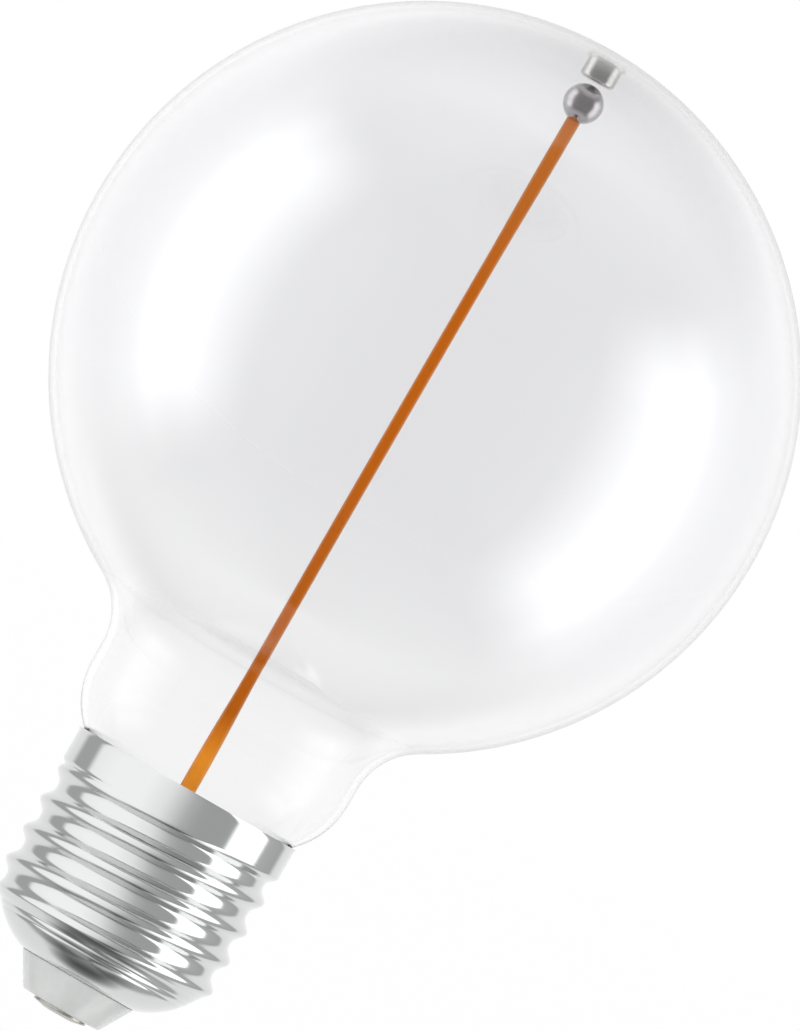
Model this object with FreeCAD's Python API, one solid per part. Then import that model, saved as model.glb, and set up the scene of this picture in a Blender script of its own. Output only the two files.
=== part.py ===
import FreeCAD, Part
import math
import os
from FreeCAD import Vector

# Clear globe lamp with an upright filament strip, kept straight by a magnet in the crown.
# Millimetres. +Z runs along the axis towards the globe; the origin is the face of the centre contact.
# +X is the side on which the first full thread crest stands at first_crest_z.

# Screw cap, a rolled sheet shell with a 27 mm round thread
thread_pitch = 3.629
thread_major_radius = 13.13
thread_depth = 0.98
crest_land = 0.6
root_land = 1.2
thread_length = 14.5
first_crest_rise = 1.21
runout_turns = 0.5
runout_sink = 1.75
ridge_sunk = 0.45
sheet = 0.3
collar_proud = 0.07
collar_height = 4.3
collar_step = 0.6
rim_flare = 0.15
rim_flare_height = 0.5
cap_shoulder_height = 4.5
cap_mouth_radius = 7.0

# Insulator and centre contact
insulator_height = 3.76
insulator_top_radius = 6.8
insulator_tip_radius = 4.6
insulator_edge = 0.35
insulator_head_radius = 7.3
insulator_head_height = 0.5
moulding_gap = 0.12
contact_height = 0.64
contact_radius = 3.1
contact_flat_radius = 1.8
contact_rim_height = 0.3
eyelet_radius = 1.2
eyelet_bore_radius = 0.45
eyelet_lip_radius = 1.9
eyelet_lip_height = 0.3
eyelet_floor = 0.6

# Glass envelope
globe_radius = 40.0
glass_wall = 0.8
waist_fillet = 7.54
neck_radius = 15.65
neck_length = 2.0
neck_rise = 6.8
rim_gap = 0.16
spigot_gap = 0.65
spigot_lead = 1.2
spigot_depth = 10.9
cement_depth = 3.2
cement_height = 1.6

# Glass stem inside the cap: flare, tube, flattened pinch and exhaust tip
flare_rim_height = 0.9
flare_rise = 4.6
stem_tube_radius = 4.2
stem_tube_height = 0.6
pinch_blend_height = 1.4
pinch_height = 1.4
pinch_width = 9.4
pinch_thickness = 2.4
exhaust_radius = 1.3
exhaust_bore_radius = 0.8
exhaust_tip_drop = 1.5
exhaust_taper = 1.8
exhaust_port_radius = 0.5

# Filament strip with its terminals and lead wires
strip_thickness = 0.9
strip_foot_width = 1.8
strip_width = 1.35
strip_top_width = 1.55
strip_foot_depth = 0.5
strip_foot_taper_start = 2.6
strip_foot_taper_end = 16.0
strip_top_taper = 12.0
strip_top_length = 5.0
tang_width = 0.8
tang_thickness = 0.3
tang_length = 1.2
terminal_width = 0.5
terminal_thickness = 0.2
terminal_spacing = 1.1
terminal_length = 2.5
terminal_embedded = 1.5
lead_radius = 0.25
lead_spacing = 4.4
glass_seal_gap = 0.02

# Magnetic suspension in the crown
ball_radius = 2.2
ball_gap = 0.4
cup_radius = 2.0
cup_wall = 0.25
cup_height = 2.6
cup_corner = 0.5
cup_flange_radius = 2.35
cup_flange_height = 0.25
adhesive_thickness = 0.4
adhesive_radius = 2.2
magnet_height = 2.0
magnet_gap = 0.05

# Driver board and the components on it
board_shell_gap = 1.76
board_foot_gap = 0.8
board_thickness = 1.0
board_corner = 2.5
board_front_y = 2.4
board_rim_gap = 0.3
can_foot_gap = 1.85
can_side_gap = 1.2
can_corner = 0.4
can_groove = 0.3
can_groove_width = 0.8
can_board_gap = 0.15
can_lead_spacing = 2.0
can_lead_reach = 0.5
can_drop = 1.25
rectifier_width = 3.8
rectifier_depth = 1.4
rectifier_height = 4.6
rectifier_inset = 2.2
chip_width = 3.4
chip_depth = 1.2
chip_height = 3.6
chip_inset = 2.3
package_rise = 0.1
leg_width = 0.5
leg_thickness = 0.2
leg_foot = 0.7
resistor_chip_width = 2.0
resistor_chip_depth = 0.5
resistor_chip_height = 1.25
resistor_chip_cap = 0.35
resistor_chip_relief = 0.06
resistor_chip_start = 1.4
resistor_chip_pitch = 2.8
resistor_chip_drop = 0.9
film_box_width = 3.0
film_box_depth = 2.6
film_box_height = 4.4
film_box_offset = 0.105
film_box_corner = 0.4
fuse_radius = 1.0
fuse_end_radius = 1.15
fuse_end_gap = 1.6
fuse_end_length = 1.2
fuse_offset = 0.59
fuse_board_gap = 0.6
fuse_lead_radius = 0.3
sleeve_gap = 0.08
sleeve_wall = 0.22
sleeve_overhang = 0.2
core_flange_radius = 2.6
core_waist_radius = 1.2
core_shell_gap = 1.09
core_flange = 0.8
core_offset = 0.484
winding_radius = 2.25
winding_gap = 0.04
live_wire_radius = 0.3
neutral_wire_radius = 0.2
live_wire_rise = 0.8
live_pad_height = 1.6
neutral_pad_inset = 1.2
neutral_pad_drop = 3.0
neutral_pad_length = 1.2
wire_rim_drop = 0.6

# Places that follow from the sizes above
origin = Vector(0, 0, 0)
axis = Vector(0, 0, 1)
thread_root_radius = thread_major_radius - thread_depth
flank_height = (thread_pitch - crest_land - root_land) / 2
flank_angle = math.atan2(thread_depth, flank_height)
collar_radius = thread_major_radius + collar_proud
shell_bottom_z = contact_height + insulator_height
shoulder_top_z = shell_bottom_z + cap_shoulder_height
first_crest_z = shoulder_top_z + first_crest_rise
thread_top_z = shoulder_top_z + thread_length
collar_top_z = thread_top_z + collar_height
neck_foot_z = collar_top_z + neck_rise
neck_top_z = neck_foot_z + neck_length
waist_centre_radius = neck_radius + waist_fillet
globe_drop = math.sqrt((globe_radius + waist_fillet) ** 2 - waist_centre_radius ** 2)
globe_centre_z = neck_top_z + globe_drop
rim_radius = collar_radius - sheet - rim_gap
neck_inset = neck_radius - rim_radius
neck_shoulder_arc = (neck_rise ** 2 + neck_inset ** 2) / (2 * neck_inset)
cap_inner_radius = thread_root_radius - sheet
spigot_radius = cap_inner_radius - spigot_gap
seal_z = collar_top_z - spigot_depth
flare_bottom_z = seal_z - flare_rim_height
pinch_foot_z = seal_z + flare_rise + stem_tube_height
pinch_z = pinch_foot_z + pinch_blend_height
pinch_top_z = pinch_z + pinch_height
strip_foot_z = collar_top_z - strip_foot_depth
crown_z = globe_centre_z + globe_radius - glass_wall
cup_top_z = crown_z - adhesive_thickness
cup_bottom_z = cup_top_z - cup_height
ball_z = cup_bottom_z - ball_gap - ball_radius
strip_top_z = ball_z - ball_radius
terminal_x = terminal_spacing / 2
lead_x = lead_spacing / 2
insulator_head_z = shell_bottom_z + moulding_gap
insulator_top_z = shell_bottom_z + 2 * insulator_head_height
board_top_z = flare_bottom_z - board_rim_gap
board_bottom_z = insulator_top_z + board_foot_gap
board_height = board_top_z - board_bottom_z
board_back_y = board_front_y + board_thickness
half_board = math.sqrt((cap_inner_radius - board_shell_gap) ** 2 - board_back_y ** 2)
can_length = 2 * (half_board - rectifier_width - can_side_gap)
can_radius = (board_height - can_drop - can_foot_gap) / 2
fuse_length = board_height - 2 * fuse_end_gap
rectifier_x = half_board - rectifier_inset
chip_x = chip_inset - half_board
film_box_x = -film_box_offset * half_board
fuse_x = -fuse_offset * half_board
core_x = core_offset * half_board
core_far_y = math.sqrt((cap_inner_radius - core_shell_gap) ** 2 - (core_x + core_flange_radius) ** 2)
core_length = core_far_y - board_back_y
can_y = board_front_y - can_board_gap - can_radius
can_z = board_top_z - can_drop - can_radius
overrun = 1.0


def at(radius, height):
    """A point of a section drawn in the XZ plane."""
    return Vector(radius, 0, height)


def arc(centre, radius, start, end):
    """Arc about a section point, between two angles in radians from +X."""
    angles = (start, (start + end) / 2, end)
    points = [centre + Vector(math.cos(a), 0, math.sin(a)) * radius for a in angles]
    return Part.Arc(*points).toShape()


def chain(*points):
    """Straight edges through the points in order."""
    return [Part.LineSegment(a, b).toShape() for a, b in zip(points, points[1:])]


def turned(edges):
    """Solid of revolution about the lamp's axis from a closed section."""
    section = Part.Face(Part.Wire(Part.__sortEdges__(edges)))
    return section.revolve(origin, axis, 360)


def ends(edges):
    """First and last point of a run of edges laid end to end."""
    return edges[0].firstVertex().Point, edges[-1].lastVertex().Point


def ring(inner, outer, low, high):
    """Plain turned ring."""
    corners = (at(inner, low), at(outer, low), at(outer, high), at(inner, high), at(inner, low))
    return turned(chain(*corners))


def bent_wire(points, radius):
    """Thin round wire along straight runs, sharply bent where they meet."""
    section = Part.Wire(Part.makeCircle(radius, points[0], points[1] - points[0]))
    mitred = 1
    return Part.Wire(chain(*points)).makePipeShell([section], True, False, mitred)


def envelope_skin(inset):
    """Skin of the blown glass from the crown to the seal: tangent arcs, then a cone and the spigot."""
    tilt = math.atan2(-globe_drop, waist_centre_radius)
    shoulder_centre = at(neck_radius - neck_shoulder_arc, neck_foot_z)
    shoulder = neck_shoulder_arc - inset
    turn = math.asin(neck_rise / neck_shoulder_arc)
    rim = shoulder_centre + Vector(math.cos(turn), 0, -math.sin(turn)) * shoulder
    lead = math.atan2(spigot_lead, rim_radius - spigot_radius)
    spigot_top_z = collar_top_z - spigot_lead + inset * (1 - math.sin(lead)) / math.cos(lead)
    neck = neck_radius - inset
    spigot = spigot_radius - inset
    return [
        arc(at(0, globe_centre_z), globe_radius - inset, math.pi / 2, tilt),
        arc(at(waist_centre_radius, neck_top_z), waist_fillet + inset, math.pi + tilt, math.pi),
        *chain(at(neck, neck_top_z), at(neck, neck_foot_z)),
        arc(shoulder_centre, shoulder, 0, -turn),
        *chain(rim, at(spigot, spigot_top_z), at(spigot, seal_z)),
    ]


def envelope_form(inset):
    """Solid filled out to one skin of the envelope."""
    skin = envelope_skin(inset)
    crown, foot = ends(skin)
    return turned(skin + chain(foot, at(0, foot.z), crown))


def glass_globe():
    """Blown globe, waist, neck and the spigot that goes down inside the cap."""
    outer = envelope_skin(0)
    inner = envelope_skin(glass_wall)
    outer_crown, outer_foot = ends(outer)
    inner_crown, inner_foot = ends(inner)
    return turned(outer + inner + chain(outer_foot, inner_foot) + chain(outer_crown, inner_crown))


def flare():
    """Conical flare under the neck and the tube above it, closed where the pinch starts."""
    tube_bore = stem_tube_radius - glass_wall
    mouth = spigot_radius - glass_wall
    slope = math.atan2(flare_rise, mouth - stem_tube_radius)
    drop = glass_wall / math.cos(slope)

    def under(radius):
        """Height of the flare's under side at a radius."""
        return seal_z + (mouth - radius) * math.tan(slope) - drop

    lip = mouth + (seal_z - drop - flare_bottom_z) / math.tan(slope)
    return turned(chain(
        at(spigot_radius, seal_z),
        at(mouth, seal_z),
        at(stem_tube_radius, seal_z + flare_rise),
        at(stem_tube_radius, pinch_foot_z),
        at(0, pinch_foot_z),
        at(0, pinch_foot_z - glass_wall),
        at(tube_bore, pinch_foot_z - glass_wall),
        at(tube_bore, under(tube_bore)),
        at(lip, flare_bottom_z),
        at(spigot_radius, flare_bottom_z),
        at(spigot_radius, seal_z),
    ))


def rounded_slab(width, thickness, height):
    """Closed outline with half-round sides, level at a height: the section of a pinch or a strip."""
    half = (width - thickness) / 2
    side = thickness / 2
    a, b = Vector(half, -side, height), Vector(half, side, height)
    c, d = Vector(-half, side, height), Vector(-half, -side, height)
    right = Part.Arc(a, Vector(half + side, 0, height), b)
    left = Part.Arc(c, Vector(-half - side, 0, height), d)
    sides = (right, Part.LineSegment(b, c), left, Part.LineSegment(d, a))
    return Part.Wire([side.toShape() for side in sides])


def exhaust_tube():
    """Pumping tube that hangs inside the flare, drawn to a sealed conical tip."""
    top = pinch_foot_z - glass_wall / 2
    tip = flare_bottom_z - exhaust_tip_drop
    taper = tip + exhaust_taper
    return turned(chain(
        at(0, tip),
        at(exhaust_radius, taper),
        at(exhaust_radius, top),
        at(0, top),
        at(0, tip),
    ))


def pinch():
    """End of the stem tube, spread sideways and pressed flat between two sloping jaws."""
    spread = turned(chain(
        at(0, pinch_foot_z - glass_wall / 2),
        at(stem_tube_radius, pinch_foot_z - glass_wall / 2),
        at(stem_tube_radius, pinch_foot_z),
        at(pinch_width / 2, pinch_z),
        at(pinch_width / 2, pinch_top_z),
        at(0, pinch_top_z),
        at(0, pinch_foot_z - glass_wall / 2),
    ))
    half = pinch_thickness / 2
    wide = stem_tube_radius + overrun
    foot = pinch_foot_z - overrun
    jaws = [(half, pinch_top_z), (half, pinch_z), (wide, pinch_foot_z), (wide, foot)]
    outline = [(side * y, z) for side, run in ((1, jaws), (-1, jaws[::-1])) for y, z in run]
    points = [Vector(-pinch_width, y, z) for y, z in outline]
    gap = Part.Face(Part.makePolygon(points + points[:1])).extrude(Vector(2 * pinch_width, 0, 0))
    return spread.common(gap)


def glass_stem(leads):
    """Flare, tube, pinch and exhaust tube fused as one glass piece, sealed round both lead wires."""
    port_z = pinch_foot_z + exhaust_port_radius
    bore_foot = flare_bottom_z - exhaust_tip_drop + exhaust_taper
    bore = Part.makeCylinder(exhaust_bore_radius, port_z - bore_foot, Vector(0, 0, bore_foot), axis)
    reach = stem_tube_radius + overrun
    port = Part.makeCylinder(exhaust_port_radius, reach, Vector(0, 0, port_z), Vector(0, -1, 0))
    seals = [lead_wire(side, lead_radius + glass_seal_gap) for side in leads]
    return flare().fuse([pinch(), exhaust_tube()]).cut([bore, port] + seals)


def lead_wire(side, radius):
    """Wire from the driver board through the pinch to a filament terminal; side is -1 or 1."""
    board_y = board_front_y - lead_radius
    weld_y = terminal_thickness / 2 + lead_radius
    weld_x = side * terminal_x
    path = [
        Vector(side * lead_x, board_y, board_top_z - can_drop + lead_radius),
        Vector(side * lead_x, board_y, flare_bottom_z),
        Vector(side * lead_x, 0, seal_z + flare_rise / 2),
        Vector(side * lead_x, 0, pinch_top_z + lead_radius),
        Vector(weld_x, weld_y, strip_foot_z + terminal_embedded - terminal_length - lead_radius),
        Vector(weld_x, weld_y, strip_foot_z - lead_radius),
    ]
    return bent_wire(path, radius)


def terminal(side):
    """Flat tab moulded into the strip's foot."""
    low = strip_foot_z + terminal_embedded - terminal_length
    corner = Vector(side * terminal_x - terminal_width / 2, -terminal_thickness / 2, low)
    return Part.makeBox(terminal_width, terminal_thickness, terminal_length, corner)


def filament_strip(terminals):
    """Moulded filament strip: a wide foot, a slim straight run, a wider head and a tang for the ball."""
    straight_top = strip_top_z - strip_top_length
    sections = [
        rounded_slab(strip_foot_width, strip_thickness, strip_foot_z),
        rounded_slab(strip_foot_width, strip_thickness, strip_foot_z + strip_foot_taper_start),
        rounded_slab(strip_width, strip_thickness, strip_foot_z + strip_foot_taper_end),
        rounded_slab(strip_width, strip_thickness, straight_top - strip_top_taper),
        rounded_slab(strip_top_width, strip_thickness, straight_top),
        rounded_slab(strip_top_width, strip_thickness, strip_top_z),
    ]
    strip = Part.makeLoft(sections, True, True)
    tang = Part.Face(rounded_slab(tang_width, tang_thickness, strip_top_z)).extrude(axis * tang_length)
    return strip.fuse(tang).cut(terminals)


def steel_ball():
    """Polished ball with a blind slot that seats the strip's tang."""
    slot = Part.Face(rounded_slab(tang_width, tang_thickness, strip_top_z - overrun))
    slot = slot.extrude(axis * (overrun + tang_length))
    return Part.makeSphere(ball_radius, Vector(0, 0, ball_z)).cut(slot)


def magnet_cup():
    """Drawn cup with a turned-out flange, open towards the crown."""
    bend = cup_bottom_z + cup_corner
    inside = cup_radius - cup_wall
    floor_z = cup_bottom_z + cup_wall
    flange_z = cup_top_z - cup_flange_height
    return turned([
        *chain(at(0, cup_bottom_z), at(cup_radius - cup_corner, cup_bottom_z)),
        arc(at(cup_radius - cup_corner, bend), cup_corner, -math.pi / 2, 0),
        *chain(at(cup_radius, bend), at(cup_radius, flange_z), at(cup_flange_radius, flange_z)),
        *chain(at(cup_flange_radius, flange_z), at(cup_flange_radius, cup_top_z), at(inside, cup_top_z)),
        *chain(at(inside, cup_top_z), at(inside, bend), at(cup_radius - cup_corner, floor_z)),
        *chain(at(cup_radius - cup_corner, floor_z), at(0, floor_z), at(0, cup_bottom_z)),
    ])


def magnet():
    """Disc magnet standing in the cup, its lower edge cut to clear the cup's corner."""
    low = cup_bottom_z + cup_wall
    radius = cup_radius - cup_wall - magnet_gap
    edge = cup_corner - cup_wall
    return turned(chain(
        at(0, low),
        at(radius - edge, low),
        at(radius, low + edge),
        at(radius, low + magnet_height),
        at(0, low + magnet_height),
        at(0, low),
    ))


def dome_adhesive():
    """Clear pad that fills the space between the cup's flange and the inside of the crown."""
    pad = Part.makeCylinder(adhesive_radius, adhesive_thickness + overrun, Vector(0, 0, cup_top_z), axis)
    return pad.common(envelope_form(glass_wall))


def cap_form(inset):
    """Cap without its thread, filled out to the outer skin, or to the inner one a sheet further in."""
    root = thread_root_radius - inset
    collar = collar_radius - inset
    mouth_radius, brow_radius, rise = cap_mouth_radius, thread_root_radius, cap_shoulder_height
    centre_z = shell_bottom_z + (brow_radius ** 2 - mouth_radius ** 2 + rise ** 2) / (2 * rise)
    shoulder = math.hypot(mouth_radius, centre_z - shell_bottom_z) - inset
    low_z = shell_bottom_z - inset / 2
    start = -math.acos(root / shoulder)
    end = -math.asin((centre_z - low_z) / shoulder)
    brow_z = centre_z + shoulder * math.sin(start)
    lip_radius = shoulder * math.cos(end)
    step_z = thread_top_z + inset * math.tan(flank_angle / 2)
    collar_z = step_z + collar_step
    flare_z = collar_top_z - rim_flare_height
    top_z = collar_top_z + inset * rim_flare_height / rim_flare
    rim = collar + rim_flare * (top_z - flare_z) / rim_flare_height
    return turned([
        arc(at(0, centre_z), shoulder, start, end),
        *chain(at(lip_radius, low_z), at(0, low_z), at(0, top_z), at(rim, top_z), at(collar, flare_z)),
        *chain(at(collar, flare_z), at(collar, collar_z), at(root, step_z), at(root, brow_z)),
    ])


def thread_ridge(inset):
    """Helical ridge with flat flanks, faded out over the shoulder and run on into the collar.

    The ridge is a row of equal sweeps of one section, laid end to end up the helix. Below the first
    crest the same section follows a conical helix, so it sinks into the shoulder as it goes round.
    """
    tip = thread_major_radius - inset
    low = thread_root_radius - inset - ridge_sunk
    half_crest = crest_land / 2 - inset * math.tan(flank_angle / 2)
    half_foot = half_crest + flank_height * (1 + ridge_sunk / thread_depth)
    corners = (at(low, -half_foot), at(tip, -half_crest), at(tip, half_crest), at(low, half_foot))
    section = Part.makePolygon(corners + corners[:1])

    turns = (thread_top_z + collar_step + half_foot - first_crest_z) / thread_pitch
    count = math.ceil(turns)
    share = turns / count
    path = Part.Wire(Part.makeHelix(thread_pitch, thread_pitch * share, tip))
    sweep = path.makePipeShell([section], True, True)
    ridge = []
    for index in range(count):
        piece = sweep.copy()
        piece.rotate(origin, axis, 360 * share * index)
        piece.translate(axis * thread_pitch * share * index)
        ridge.append(piece)

    rise = thread_pitch * runout_turns
    narrowing = math.degrees(math.atan2(runout_sink, rise))
    path = Part.Wire(Part.makeHelix(thread_pitch, rise, tip - runout_sink, narrowing))
    section.translate(at(-runout_sink, 0))
    runout = path.makePipeShell([section], True, True)
    runout.rotate(origin, axis, -360 * runout_turns)
    runout.translate(axis * -rise)
    ridge.append(runout)
    for piece in ridge:
        piece.translate(axis * first_crest_z)
    return ridge


def screw_shell():
    """Thin rolled shell: collar, thread on both skins of the sheet, and the rounded shoulder."""
    outer = cap_form(0).fuse(thread_ridge(0))
    inner = cap_form(sheet).fuse(thread_ridge(sheet))
    return outer.cut(inner)


def insulator():
    """Moulded cone under the shell, with a head that holds it in the shell's mouth."""
    bore = eyelet_radius
    neck = cap_mouth_radius - 4 * sheet
    edge = insulator_edge
    head = insulator_head_radius
    return turned(chain(
        at(bore, contact_height),
        at(insulator_tip_radius - edge, contact_height),
        at(insulator_tip_radius, contact_height + edge),
        at(insulator_top_radius, shell_bottom_z),
        at(neck, shell_bottom_z),
        at(neck, insulator_head_z),
        at(head, insulator_head_z + insulator_head_height),
        at(head, insulator_top_z),
        at(bore, insulator_top_z),
        at(bore, contact_height),
    ))


def contact_eyelet():
    """Centre contact: a domed disc on a hollow rivet, rolled over the insulator's head."""
    low, high = contact_flat_radius, contact_radius
    centre_z = (high ** 2 - low ** 2 + contact_rim_height ** 2) / (2 * contact_rim_height)
    dome = arc(at(0, centre_z), math.hypot(low, centre_z), math.atan2(-centre_z, low),
               math.atan2(contact_rim_height - centre_z, high))
    lip_z = insulator_top_z + eyelet_lip_height
    floor_z = contact_height + eyelet_floor
    return turned([
        dome,
        *chain(at(high, contact_rim_height), at(high, contact_height), at(eyelet_radius, contact_height)),
        *chain(at(eyelet_radius, contact_height), at(eyelet_radius, insulator_top_z)),
        *chain(at(eyelet_radius, insulator_top_z), at(eyelet_lip_radius, insulator_top_z)),
        *chain(at(eyelet_lip_radius, insulator_top_z), at(eyelet_bore_radius, lip_z)),
        *chain(at(eyelet_bore_radius, lip_z), at(eyelet_bore_radius, floor_z), at(0, floor_z)),
        *chain(at(0, floor_z), at(0, 0), at(low, 0)),
    ])


def basing_cement():
    """Cement between the shell and the glass spigot, stepped out in the collar, round the neutral wire."""
    inner = spigot_radius
    narrow = cap_inner_radius
    wide = collar_radius - sheet
    step_z = thread_top_z + collar_step + sheet
    low = step_z - cement_depth
    filled = turned(chain(
        at(inner, low),
        at(narrow, low),
        at(narrow, step_z),
        at(wide, step_z),
        at(wide, step_z + cement_height),
        at(inner, step_z + cement_height),
        at(inner, low),
    ))
    return filled.cut(neutral_wire(neutral_wire_radius + glass_seal_gap))


def driver_board():
    """Upright board with its lower corners cut to clear the cap's shoulder."""
    half = half_board
    corner = board_corner
    outline = chain(
        Vector(-half, board_front_y, board_top_z),
        Vector(-half, board_front_y, board_bottom_z + corner),
        Vector(-half + corner, board_front_y, board_bottom_z),
        Vector(half - corner, board_front_y, board_bottom_z),
        Vector(half, board_front_y, board_bottom_z + corner),
        Vector(half, board_front_y, board_top_z),
        Vector(-half, board_front_y, board_top_z),
    )
    return Part.Face(Part.Wire(outline)).extrude(Vector(0, board_thickness, 0))


def laid_on_x(solid, x, y, z):
    """A part turned about Z, laid along +X with its start at a point."""
    solid.rotate(origin, Vector(0, 1, 0), 90)
    solid.translate(Vector(x, y, z))
    return solid


def smoothing_capacitor():
    """Electrolytic can lying across the board, with a rolled groove and two bent leads."""
    corner = can_corner
    groove_z = can_length - 2 * can_groove_width
    waist = can_radius - can_groove
    can = turned(chain(
        at(0, 0),
        at(can_radius - corner, 0),
        at(can_radius, corner),
        at(can_radius, groove_z),
        at(waist, groove_z + can_groove_width / 2),
        at(can_radius, groove_z + can_groove_width),
        at(can_radius, can_length - corner),
        at(can_radius - corner, can_length),
        at(0, can_length),
        at(0, 0),
    ))
    can = laid_on_x(can, -can_length / 2, can_y, can_z)
    end_x = can_length / 2
    leads = []
    for side in (-1, 1):
        z = can_z + side * can_lead_spacing / 2
        path = [
            Vector(end_x - can_lead_reach, can_y, z),
            Vector(end_x + can_lead_reach, can_y, z),
            Vector(end_x + can_lead_reach, board_front_y, z),
        ]
        leads.append(bent_wire(path, lead_radius))
    return can.fuse(leads)


def leg(x, z, direction):
    """Gull-wing leg that leaves a package at a height and stands flat on the board's front."""
    rise = board_front_y - package_rise - leg_thickness
    knee = leg_foot / 2
    profile = [
        (0, -2 * leg_thickness),
        (knee, -2 * leg_thickness),
        (knee + leg_thickness, package_rise),
        (leg_foot + knee, package_rise),
        (leg_foot + knee, package_rise + leg_thickness),
        (knee, package_rise + leg_thickness),
        (knee - leg_thickness, -leg_thickness),
        (0, -leg_thickness),
    ]
    points = [Vector(x - leg_width / 2, rise + drop, z + direction * out) for out, drop in profile]
    return Part.Face(Part.makePolygon(points + points[:1])).extrude(Vector(leg_width, 0, 0))


def package(body, x, legs_per_side):
    """Moulded semiconductor package on gull-wing legs, with drafted edges; body is its size."""
    z = can_z
    draft = package_rise
    back = board_front_y - package_rise
    middle = back - body.y / 2
    front = back - body.y
    outlines = []
    for y, shrink in ((back, draft), (middle, 0), (front, draft)):
        half_x = body.x / 2 - shrink
        half_z = body.z / 2 - shrink
        signs = ((-1, -1), (1, -1), (1, 1), (-1, 1), (-1, -1))
        outlines.append(Part.makePolygon([Vector(x + i * half_x, y, z + k * half_z) for i, k in signs]))
    solid = Part.makeLoft(outlines, True, True)
    pitch = body.x / legs_per_side
    legs = []
    for index in range(legs_per_side):
        leg_x = x + (index - (legs_per_side - 1) / 2) * pitch
        for direction in (-1, 1):
            legs.append(leg(leg_x, z + direction * (body.z / 2 - package_rise), direction))
    return solid.fuse(legs)


def chip_resistors():
    """Group of like chip resistors along the board's lower edge, with proud end caps."""
    solids = []
    size = Vector(resistor_chip_width, resistor_chip_depth, resistor_chip_height)
    starts = [resistor_chip_start, resistor_chip_start + resistor_chip_pitch]
    for spot in [-x for x in reversed(starts)] + starts:
        low = board_bottom_z + resistor_chip_drop - size.z / 2
        left = spot - size.x / 2
        relief = resistor_chip_relief
        core = Part.makeBox(size.x, size.y - relief, size.z - 2 * relief,
                            Vector(left, board_front_y - size.y + relief, low + relief))
        caps = [Part.makeBox(resistor_chip_cap, size.y, size.z, Vector(x, board_front_y - size.y, low))
                for x in (left, left + size.x - resistor_chip_cap)]
        solids.append(core.fuse(caps).removeSplitter())
    return Part.makeCompound(solids)


def filter_capacitor():
    """Boxed film capacitor standing on the back of the board."""
    size = Vector(film_box_width, film_box_depth, film_box_height)
    low_z = can_z - size.z / 2
    box = Part.makeBox(size.x, size.y, size.z, Vector(film_box_x - size.x / 2, board_back_y, low_z))
    far = [e for e in box.Edges if e.BoundBox.YMax > board_back_y + size.y / 2]
    return box.makeChamfer(film_box_corner, far)


def fusible_resistor():
    """Axial resistor beside the board's back, with bulged ends and both leads bent to the board."""
    y = board_back_y + fuse_board_gap + fuse_end_radius
    half = fuse_length / 2
    end = fuse_end_length
    waist = end + fuse_end_radius - fuse_radius
    body = turned(chain(
        at(0, -half),
        at(fuse_radius, -half),
        at(fuse_end_radius, -half + end / 3),
        at(fuse_end_radius, -half + end),
        at(fuse_radius, -half + waist),
        at(fuse_radius, half - waist),
        at(fuse_end_radius, half - end),
        at(fuse_end_radius, half - end / 3),
        at(fuse_radius, half),
        at(0, half),
        at(0, -half),
    ))
    body.translate(Vector(fuse_x, y, can_z))
    leads = []
    for side in (-1, 1):
        path = [
            Vector(fuse_x, y, can_z + side * (half - fuse_radius)),
            Vector(fuse_x, y, can_z + side * (half + 2 * fuse_lead_radius)),
            Vector(fuse_x, board_back_y, can_z + side * (half + 2 * fuse_lead_radius)),
        ]
        leads.append(bent_wire(path, fuse_lead_radius))
    return body.fuse(leads)


def resistor_sleeve():
    """Shrunk sleeve over the fusible resistor's body, short of its bent leads."""
    y = board_back_y + fuse_board_gap + fuse_end_radius
    inner = fuse_end_radius + sleeve_gap
    half = fuse_length / 2 + sleeve_overhang - 2 * fuse_lead_radius
    sleeve = ring(inner, inner + sleeve_wall, -half, half)
    sleeve.translate(Vector(fuse_x, y, can_z))
    return sleeve


def stood_on_back(solid, x, z):
    """A part turned about Z, stood on the back of the board."""
    solid.rotate(origin, Vector(1, 0, 0), -90)
    solid.translate(Vector(x, board_back_y, z))
    return solid


def choke_core():
    """Ferrite drum with two flanges."""
    far = core_length - core_flange
    drum = turned(chain(
        at(0, 0),
        at(core_flange_radius, 0),
        at(core_flange_radius, core_flange),
        at(core_waist_radius, core_flange),
        at(core_waist_radius, far),
        at(core_flange_radius, far),
        at(core_flange_radius, core_length),
        at(0, core_length),
        at(0, 0),
    ))
    return stood_on_back(drum, core_x, can_z)


def choke_winding():
    """Wound copper between the drum's flanges, as one solid."""
    coil = ring(core_waist_radius + winding_gap, winding_radius,
                core_flange + winding_gap, core_length - core_flange - winding_gap)
    return stood_on_back(coil, core_x, can_z)


def live_wire():
    """Wire from inside the contact's rivet to the foot of the board."""
    board_y = board_front_y - live_wire_radius
    low = contact_height + eyelet_floor + live_wire_radius
    bend_z = insulator_top_z + eyelet_lip_height + live_wire_radius
    path = [
        Vector(0, 0, low),
        Vector(0, 0, bend_z),
        Vector(0, board_y, bend_z + live_wire_rise),
        Vector(0, board_y, board_bottom_z + live_pad_height),
    ]
    return bent_wire(path, live_wire_radius)


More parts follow.
